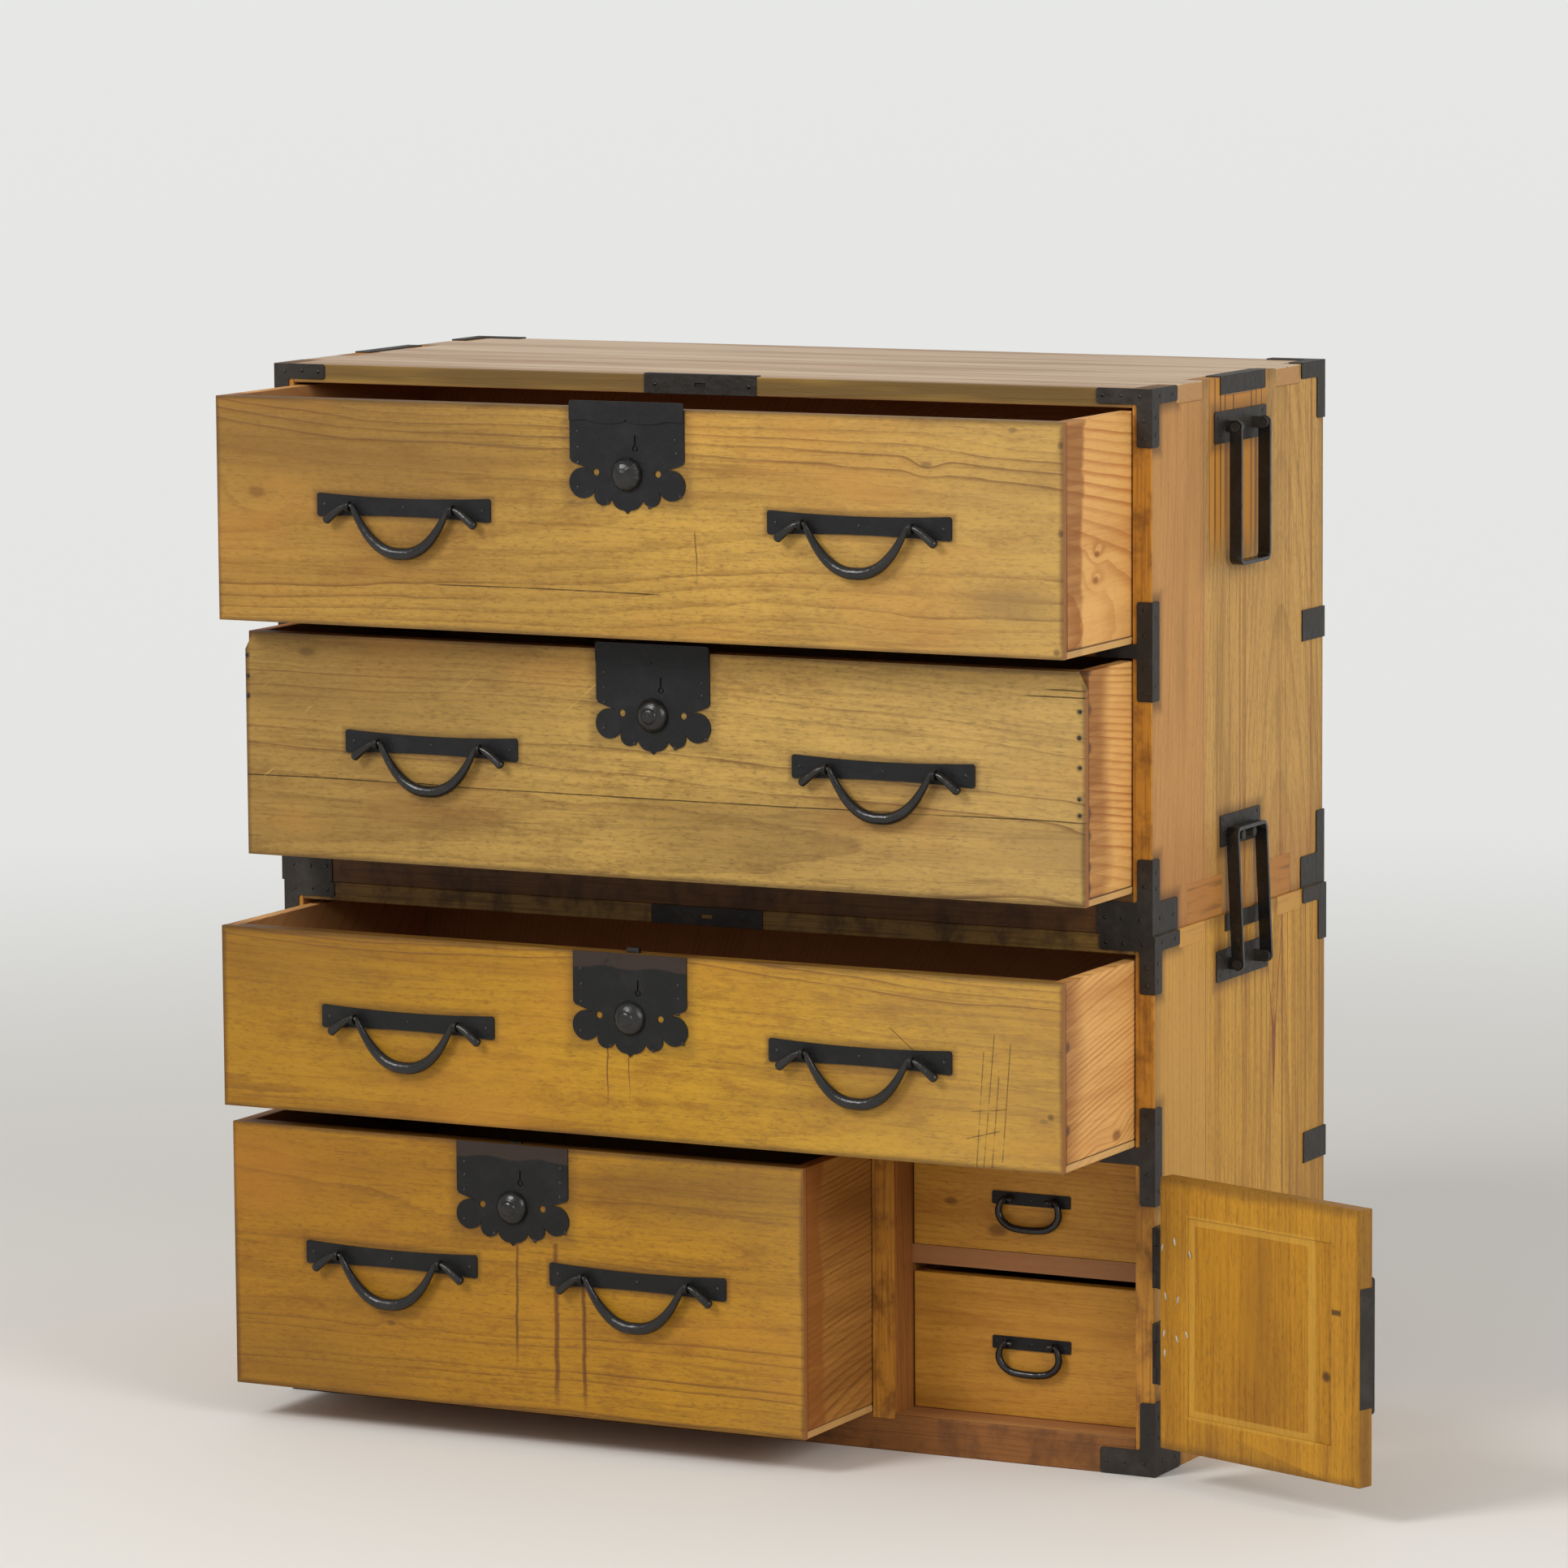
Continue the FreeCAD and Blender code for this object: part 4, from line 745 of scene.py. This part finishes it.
def top_marks(recipe, grain):
    """A top glued up from several boards, worn grey, with its seams showing."""
    x, y, z = recipe.x, recipe.y, recipe.z
    worn = z.step(top_high.z - 0.0015, top_high.z - 0.0004)
    grey = recipe.mix(linear(208, 186, 158), linear(172, 142, 114), grain.tone.step(0.38, 0.66))
    grey = recipe.mix(grey, linear(150, 120, 96), grain.streak.step(0.55, 0.72) * 0.6)
    recipe.coat(grey, worn * 0.8)
    for at in (-0.168, -0.092, 0.01, 0.125):
        seam = line_mark(recipe, grain, y, at, 0.0016, 0.001) * worn
        recipe.stain(seam, linear(74, 48, 30), 0.8)
        recipe.height = recipe.height - seam * 2.0
    ends = depth_between(x, top_low.x, top_high.x).step(0.001, 0.0002)
    ends = ends * z.step(top_high.z - 0.0004, top_high.z - 0.0015)
    recipe.stain(ends, linear(176, 130, 76), 0.8)
    olive = recipe.mix(linear(168, 132, 50), linear(84, 62, 26), grain.tone.step(0.5, 0.68) * 0.8)
    recipe.coat(olive, front_edge(recipe) * 0.9)
    # The bolt's slot in the front edge of the top is painted near-black as painted shade of the hole.
    strike = recipe.near(x, z, ((-0.012, 0.012), (top_low.z - 0.001, top_high.z)), 0.001)
    recipe.stain(strike * y.step(front_plane + 0.004, front_plane), painted_hole_shade, 1.0)
    # The underside of the top gets painted shade.
    recipe.stain(z.step(top_low.z + 0.002, top_low.z + 0.0002), painted_inner_shade, 0.85)


top_wood = Wood((196, 156, 112), (150, 108, 72), 0.35, 0.4, 0.3)
dress(plank("top_wood", top_wood, 0, 2, (0.0, 1.5), 0.009, 0.02, 0.06, 81.0, top_marks), "upper_top_board")
rail_wood = Wood((182, 134, 80), (130, 86, 44), 0.45, 0.4, 0.4, 0.5)
# The front edges of upper_base_board, lower_top_board and lower_base_board get darker colours as painted
# shade: they lie in the shade under the drawers.
rails = {
    "upper_middle_shelf": ((158, 98, 36), (96, 54, 20), (150, 92, 34)),
    "upper_base_board": ((104, 66, 28), (54, 32, 14), (176, 116, 50)),
    "lower_top_board": ((142, 108, 50), (60, 42, 20), (198, 146, 66)),
    "lower_middle_shelf": ((150, 92, 32), (84, 48, 18), (150, 92, 34)),
    "lower_base_board": ((128, 78, 30), (88, 50, 20), (168, 112, 46)),
    "cupboard_shelf": ((150, 92, 34), (80, 46, 18), (150, 92, 34))}
for number, (name, looks) in enumerate(rails.items()):
    heart = (-0.5, 0.2 + 0.3 * number)
    dress(plank(
        name + "_wood", rail_wood, 0, 2, heart, 0.008, 0.02, 0.05, 85.0 + number, rail_marks(*looks)),
        name)
partition_wood = Wood((170, 112, 54), (112, 66, 28), 0.7, 0.4, 0.3, 0.5)
dress(plank(
    "partition_wood", partition_wood, 2, 0, (0.05, 0.1), 0.006, -0.05, 0.03, 88.0, oiled_edge),
    "cupboard_partition")


def back_marks(recipe, grain):
    """The back's inner face gets the same painted shade as the rest of the inside."""
    recipe.stain(recipe.y.step(back_face + 0.002, back_face + 0.0004), painted_inner_shade, 0.85)


back_wood = Wood((190, 150, 104), (140, 98, 60), 0.6, 0.45, 0.4, 0.6)
dress(plank(
    "back_wood", back_wood, 0, 1, (0.5, 0.6), 0.011, 0.03, 0.06, 91.0, back_marks),
    "upper_back_panel", "lower_back_panel")
print("carcass dressed")

# %% [markdown]
# A plane leaves a sharp arris, and a century of hands and knocks rounds it. A narrow rounding
# on every wooden edge catches the light as the worn edges do on the real chest. The iron is
# filed off at its edges in the same way, only finer.

# %% Worn edges
def soften(node, width):
    weld = node.modifiers.new("weld", "WELD")
    weld.merge_threshold = 0.00001
    edge = node.modifiers.new("worn_edge", "BEVEL")
    edge.width = width
    edge.segments = 2
    edge.limit_method = "ANGLE"
    edge.angle_limit = math.radians(40)


for width, endings in (
        (0.0012, "_front"), (0.001, ("door_frame", "_side", "_board", "_tray")),
        (0.0003, ("ironwork", "handle_plate", "plates")), (0.0007, "carrying_handle"),
        (0.0006, "lock_knob")):
    for name, node in nodes.items():
        if name.endswith(endings):
            soften(node, width)
print("edges worn")

# %% [markdown]
# The fittings are hand-forged iron, blackened and waxed. Sheet that was hammered has shallow
# dents and rubbed edges, and a little brown shows where the wax has gone.

# %% Iron
def iron(name, ground, brown_share, dents, brown_mask=None, gloss=0.3, shine=0.35):
    """Lighter where it is rubbed, brown in specks, and dented by the hammer."""
    recipe = Recipe(name)
    patch = recipe.noise(recipe.place, 34.0, 4.0, 0.6)
    speck = recipe.noise(recipe.place, 420.0, 3.0, 0.6)
    dent = recipe.noise(recipe.place, 95.0, 2.0, 0.45)
    lighter = [channel * 2.0 for channel in linear(*ground)[:3]] + [1.0]
    recipe.colour = recipe.mix(linear(*ground), lighter, patch.step(0.46, 0.7) * 0.7)
    recipe.coat(linear(84, 58, 42), speck.step(0.58, 0.7) * brown_share)
    if brown_mask:
        recipe.coat(linear(60, 45, 37), brown_mask(recipe) * patch.step(0.22, 0.42))
    recipe.height = dent * dents + speck * 0.12
    rough = patch * 0.28 + gloss + speck * 0.12
    return recipe.finish(rough, 0.0006, Metallic=0.25, Specular_IOR_Level=shine)


def bare_band(key):
    """The lower locks have lost their cap plates, and the wavy band under them is brown."""
    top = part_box(key + "_drawer_front")[1].z
    centre = middle_of(key + "_drawer_lock_knob")

    def mask(recipe):
        wave = ((recipe.x - centre) * (2 * math.pi / 0.062)).math("COSINE") * 0.0016
        return (recipe.z + wave).step(top - 0.0165, top - 0.014) * 0.75
    return mask


sheet_iron = iron("sheet_iron", (20, 20, 21), 0.1, 1.0)
strap_iron = iron("strap_iron", (44, 40, 36), 0.3, 1.4)
bar_iron = iron("bar_iron", (24, 23, 22), 0.14, 1.5, gloss=0.08, shine=0.6)
for key in ("first", "second"):
    dress(sheet_iron, key + "_drawer_ironwork")
for key in ("third", "fourth"):
    dress(iron(key + "_lock_iron", (20, 20, 20), 0.14, 1.0, bare_band(key)), key + "_drawer_ironwork")
dress(strap_iron, "upper_ironwork", "lower_ironwork", "strike_plates", "cupboard_door_ironwork")
dress(sheet_iron, "upper_small_drawer_handle_plate", "lower_small_drawer_handle_plate")
for name in nodes:
    if name.endswith(("carrying_handle", "lock_knob", "lock_bolt")):
        dress(bar_iron, name)

# %% [markdown]
# Each pull is one bar, drawn thin at the ends on the anvil, passed through its eyes while hot
# and curled over. A smith's bar changes thickness smoothly, so it is laid as rings along a
# curve and bridged. The curve runs through the same stations as the solid bar it stands for.

# %% Forged pulls
def piece(name, mesh, body, material):
    """A made mesh as an object that rides on a body."""
    data = bpy.data.meshes.new(name)
    mesh.to_mesh(data)
    mesh.free()
    for face in data.polygons:
        face.use_smooth = True
    made = bpy.data.objects.new(name, data)
    scene.collection.objects.link(made)
    data.materials.append(material)
    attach(made, body)
    return made


def smoothed(rows, steps):
    """More stations between the given ones, on a curve through all of them."""
    dense = []
    last = len(rows) - 1
    for i in range(last):
        around = [rows[max(i - 1, 0)], rows[i], rows[i + 1], rows[min(i + 2, last)]]
        for k in range(steps):
            t = k / steps
            dense.append([
                0.5 * (2 * b + (c - a) * t + (2 * a - 5 * b + 4 * c - d) * t ** 2
                       + (3 * b - a - 3 * c + d) * t ** 3)
                for a, b, c, d in zip(*around)])
    return dense + [list(rows[-1])]


def blunted(rows):
    """The same stations with a rounded tip at each end."""
    ends = []
    for end, before in ((rows[0], rows[1]), (rows[-1], rows[-2])):
        ahead = (Vector(end[:3]) - Vector(before[:3])).normalized()
        tip = []
        for reach, share in ((0.35, 0.88), (0.62, 0.55)):
            tip.append([*(Vector(end[:3]) + ahead * end[3] * reach), end[3] * share])
        ends.append(tip)
    return ends[0][::-1] + rows + ends[1]


def forged_bar(name, rows, body, sides=12):
    """A round bar through stations of place and radius."""
    bar = bmesh.new()
    loops = []
    for i, (x, y, z, radius) in enumerate(rows):
        before = Vector(rows[max(i - 1, 0)][:3])
        after = Vector(rows[min(i + 1, len(rows) - 1)][:3])
        turn = (after - before).to_track_quat("Z", "Y").to_matrix().to_4x4()
        ring = bmesh.ops.create_circle(
            bar, cap_ends=i in (0, len(rows) - 1), segments=sides, radius=radius,
            matrix=Matrix.Translation((x, y, z)) @ turn)["verts"]
        loops.append(list({edge for vert in ring for edge in vert.link_edges}))
    for first, second in zip(loops, loops[1:]):
        bmesh.ops.bridge_loops(bar, edges=first + second)
    bmesh.ops.recalc_face_normals(bar, faces=bar.faces)
    return piece(name, bar, body, bar_iron)


wide_eye = 0.062
wide_radius = 0.0065
wide_drop = 0.048
wide_lean = 0.0016
wide_half_shares = [
    (0.0, 1.0, 1.0), (0.2, 0.975, 0.98), (0.42, 0.85, 0.9), (0.62, 0.62, 0.78), (0.78, 0.34, 0.62),
    (0.89, 0.09, 0.5)]
wide_reach = 0.00355
curl_run = 0.026
curl_fall = 0.015
curl_shares = [(0.32, 0.22, 0.58), (0.66, 0.6, 0.68), (1.0, 1.0, 0.74)]


def mirrored(half, centre):
    """Both halves of a pull in their place, from one tip to the other."""
    rows = [(-x, y, z, r) for x, y, z, r in half[:0:-1]] + half
    return [(centre[0] + x, centre[1] + y, centre[2] + z, r) for x, y, z, r in rows]


def wide_bail_rows(centre):
    """Stations of a wide pull from one curled tip to the other."""
    half = [(wide_eye * x, wide_lean * z, -wide_drop * z, wide_radius * r) for x, z, r in wide_half_shares]
    for sign in (-1, 1):
        half.append((wide_eye + sign * wide_reach, 0, 0, wide_radius * 0.47))
    for x, z, r in curl_shares:
        half.append((wide_eye + wide_reach + (curl_run - wide_reach) * x, 0, -curl_fall * z, wide_radius * r))
    return mirrored(half, centre)


small_eye = 0.0265
small_radius = 0.004
small_drop = 0.031
small_bulge = 0.0078
small_half_shares = [
    (0.0, 1.0, 1.0), (0.3, 0.99, 1.0), (0.62, 0.93, 1.0), (0.88, 0.74, 1.0), (1.0, 0.48, 0.98),
    (0.97, 0.2, 0.86)]
small_outer = 0.003
small_inner = 0.0062


def small_bail_rows(centre):
    """Stations of a small pull, whose ends turn in through the eyes."""
    spread = small_eye + small_bulge
    half = [(spread * x, 0, -small_drop * z, small_radius * r) for x, z, r in small_half_shares]
    for reach in (small_outer, -small_inner):
        half.append((small_eye + reach, 0, 0, small_radius * 0.62))
    return mirrored(half, centre)


pulls = 0
for joint in frame["joints"]:
    if joint["name"].endswith("bail_swing"):
        node = joint["name"].replace("_swing", "")
        rows = small_bail_rows(joint["pos_m"]) if "small" in node else wide_bail_rows(joint["pos_m"])
        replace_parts(forged_bar("forged_" + node, blunted(smoothed(rows, 3)), node), node)
        pulls += 1
print(pulls, "pulls forged")

# %% [markdown]
# Every plate is held by small forged nails with low round heads. The smith set them by eye, so
# their sizes and places differ a little. One mesh carries all the heads of one moving part.

# %% Nails
dice = random.Random(7)
nail_radius = 0.0021
nail_slip = 0.0008


def nails(name, body, rows, radius=nail_radius, height=0.42):
    """Low round heads at (place, direction) rows."""
    heads = bmesh.new()
    for place, outward in rows:
        size = radius * dice.uniform(0.85, 1.15)
        slip = Vector([0 if abs(axis) > 0.5 else dice.uniform(-nail_slip, nail_slip) for axis in outward])
        turn = Vector(outward).to_track_quat("Z", "Y").to_matrix().to_4x4()
        squash = Matrix.Diagonal((1, 1, height, 1))
        bmesh.ops.create_uvsphere(
            heads, u_segments=10, v_segments=6, radius=size,
            matrix=Matrix.Translation(Vector(place) + slip) @ turn @ squash)
    print(name, len(rows))
    return piece(name, heads, body, bar_iron)


sheet_rise = 0.0015
strap_middle = 0.0075
wrap_middle = front_plane + 0.008
to_front = (0, -1, 0)
upper_columns = ((-0.025, -0.041, -0.056), (-0.03, -0.044))
lock_columns = {
    "first": upper_columns,
    "second": upper_columns,
    "third": ((-0.0196, -0.0353, -0.0524), (-0.0287, -0.0433, -0.0588)),
    "fourth": ((-0.022, -0.037, -0.053), (-0.022, -0.036, -0.051))}
lobe_nails = [(-0.0577, -0.083), (0.0616, -0.089), (-0.0228, -0.097), (0.0265, -0.1)]
for key, (left_column, right_column) in lock_columns.items():
    low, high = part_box(key + "_drawer_front")
    middle = middle_of(key + "_drawer_lock_knob")
    rows = [(-0.0572, z) for z in left_column] + [(0.057, z) for z in right_column]
    rows = [((middle + x, low.y - sheet_rise, high.z + z), to_front) for x, z in rows + lobe_nails]
    for px, _, pz in pull_places(key):
        rows += [((px + x, low.y - sheet_rise, pz), to_front) for x in (-0.0945, 0.0, 0.0945)]
    if key == "second":
        rows += [((x, low.y, z), to_front) for x, z in second_pins]
    nails(key + "_drawer_nails", key + "_drawer", rows)
for key in ("upper_small", "lower_small"):
    plate_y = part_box(key + "_drawer_front")[0].y - sheet_rise
    px, _, pz = joint_place(key + "_drawer_bail_swing")
    nails(key + "_drawer_nails", key + "_drawer", [
        ((px + x, plate_y, pz), to_front) for x in (-0.04, 0.0, 0.04)], 0.0016)


def on_front(outer, sign, reach, z):
    """A nail on the front edge of a side, reaching in from its outer face."""
    return (outer - sign * reach, front_plane - sheet_rise, z), to_front


def on_side(outer, sign, y, z):
    """A nail on the outer face of a side."""
    return (outer + sign * sheet_rise, y, z), (sign, 0, 0)


def corner_nails(left, right, edge, inward, height, legs):
    """Heads on both front corner brackets of one edge of a box."""
    rows = []
    for outer, sign in ((left, -1), (right, 1)):
        arm = edge + inward * height / 2
        rows += [on_front(outer, sign, reach, arm) for reach in (0.053, 0.033, 0.012)]
        rows += [on_side(outer, sign, front_plane + depth, arm) for depth in (0.018, 0.05)]
        for reach in legs:
            rows.append(on_front(outer, sign, strap_middle, edge + inward * reach))
            rows.append(on_side(outer, sign, wrap_middle, edge + inward * (reach - 0.004)))
    return rows


def tee_nails(left, right, middle):
    """Heads on both tees over a rail."""
    rows = []
    for outer, sign in ((left, -1), (right, 1)):
        for rise in (-0.043, -0.018, 0.018, 0.043):
            rows.append(on_front(outer, sign, strap_middle, middle + rise))
        rows.append(on_front(outer, sign, 0.047, middle))
        rows += [on_side(outer, sign, wrap_middle, middle + rise) for rise in (-0.035, 0.035)]
    return rows


def handle_plate_nails(left, right, z, wide, tall):
    """Heads at the corners of both plates of a pair of carrying handles."""
    rows = []
    for outer, sign in ((left, -1), (right, 1)):
        for y in (-wide, wide):
            rows += [on_side(outer, sign, y, z + rise) for rise in (-tall, tall)]
    return rows


carcass_rows = []
for box, ends in (
        ("upper", ((0.016, (0.033, 0.051)), (0.034, (0.052, 0.07)))),
        ("lower", ((0.016, (0.033, 0.051)), (0.027, (0.045, 0.066))))):
    left_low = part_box(box + "_left_side")[0]
    right_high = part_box(box + "_right_side")[1]
    shelf_low, shelf_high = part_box(box + "_middle_shelf")
    (top_height, top_legs), (foot_height, foot_legs) = ends
    carcass_rows += corner_nails(left_low.x, right_high.x, right_high.z, -1, top_height, top_legs)
    carcass_rows += corner_nails(left_low.x, right_high.x, left_low.z, 1, foot_height, foot_legs)
    carcass_rows += tee_nails(left_low.x, right_high.x, (shelf_low.z + shelf_high.z) / 2)
    pivot = joint_place(box + "_left_carrying_handle_swing")
    carcass_rows += handle_plate_nails(left_low.x, right_high.x, pivot[2], 0.058, 0.01)
upper_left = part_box("upper_left_side")[0].x
upper_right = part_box("upper_right_side")[1].x
catch_height = 0.655
carcass_rows += handle_plate_nails(upper_left, upper_right, catch_height, 0.044, 0.006)
strike_height = 1.111
strike_rise = 0.0012
carcass_rows += [((x, front_plane - strike_rise, strike_height), to_front) for x in (-0.055, 0.055)]
lower_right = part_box("lower_right_side")[1].x
hinge_nail_heights = (0.109, 0.153, 0.209, 0.253)
for z in hinge_nail_heights:
    carcass_rows += [on_side(lower_right, 1, front_plane + depth, z) for depth in (0.014, 0.03)]
nails("carcass_nails", "carcass", carcass_rows)

# %% [markdown]
# The door's hinge leaves are nailed on its outer face. On the inner face the points of the
# nails come through. They were hammered flat along the wood, so each shows as a bright sliver.

# %% Hinge nails and clinched points
inner_face = 0.0225
outer_face = 0.003
across_door = Vector((math.cos(door_turn), math.sin(door_turn), 0))
out_of_door = Vector((-math.sin(door_turn), math.cos(door_turn), 0))
hinge_nails = [(across, z) for across in (0.031, 0.049, 0.067) for z in hinge_nail_heights]
nails("door_nails", "cupboard_door", [
    (Vector((hinge[0], hinge[1], z)) + across_door * across - out_of_door * outer_face, out_of_door)
    for across, z in hinge_nails])
points = bmesh.new()
for across, height in clinched:
    place = Vector((hinge[0], hinge[1], 0)) + across_door * across + Vector((0, 0, height))
    turn = Matrix.Rotation(dice.uniform(-0.5, 0.5), 4, "Y")
    bmesh.ops.create_uvsphere(
        points, u_segments=8, v_segments=5, radius=0.0042,
        matrix=Matrix.Translation(place) @ Matrix.Rotation(door_turn, 4, "Z") @ Matrix.Translation(
            (0, -inner_face, 0)) @ turn @ Matrix.Diagonal((0.3, 0.2, 1, 1)))
point_iron = iron("point_iron", (176, 172, 162), 0.1, 0.6)
piece("door_clinched_points", points, "cupboard_door", point_iron)
print(len(clinched), "clinched points")

# %% [markdown]
# The floor is one pale sheet without an edge in view, so that only the chest draws the eye.
# Near the chest it takes the light and keeps the shadow. Far off it turns to plain white
# for the camera and for reflections, as a studio sweep does where its own lamps light it.

# %% Floor
floor_size = 90.0
sheet = bmesh.new()
bmesh.ops.create_grid(sheet, x_segments=1, y_segments=1, size=floor_size)
floor_mesh = bpy.data.meshes.new("floor")
sheet.to_mesh(floor_mesh)
sheet.free()
floor = bpy.data.objects.new("floor", floor_mesh)
scene.collection.objects.link(floor)
paint = Recipe("floor_paint")
seen = paint.node("LightPath", out="Is Camera Ray") + paint.node("LightPath", out="Is Glossy Ray")
seen = (seen + paint.node("LightPath", out="Is Transmission Ray")).math("MINIMUM", 1.0)
far = ((paint.x * paint.x + paint.y * paint.y) ** 0.5).step(1.4, 5.0) * seen
black = (0, 0, 0, 1)
glow = paint.mix(black, linear(226, 227, 225), far)
paint.tree.links.new(glow.socket, paint.shader.inputs["Emission Color"])
paint.colour = paint.mix(linear(226, 223, 217), black, far)
floor_mesh.materials.append(paint.finish(0.85, Emission_Strength=1.0, Specular_IOR_Level=0.2))
print("floor", 2 * floor_size, "m wide")
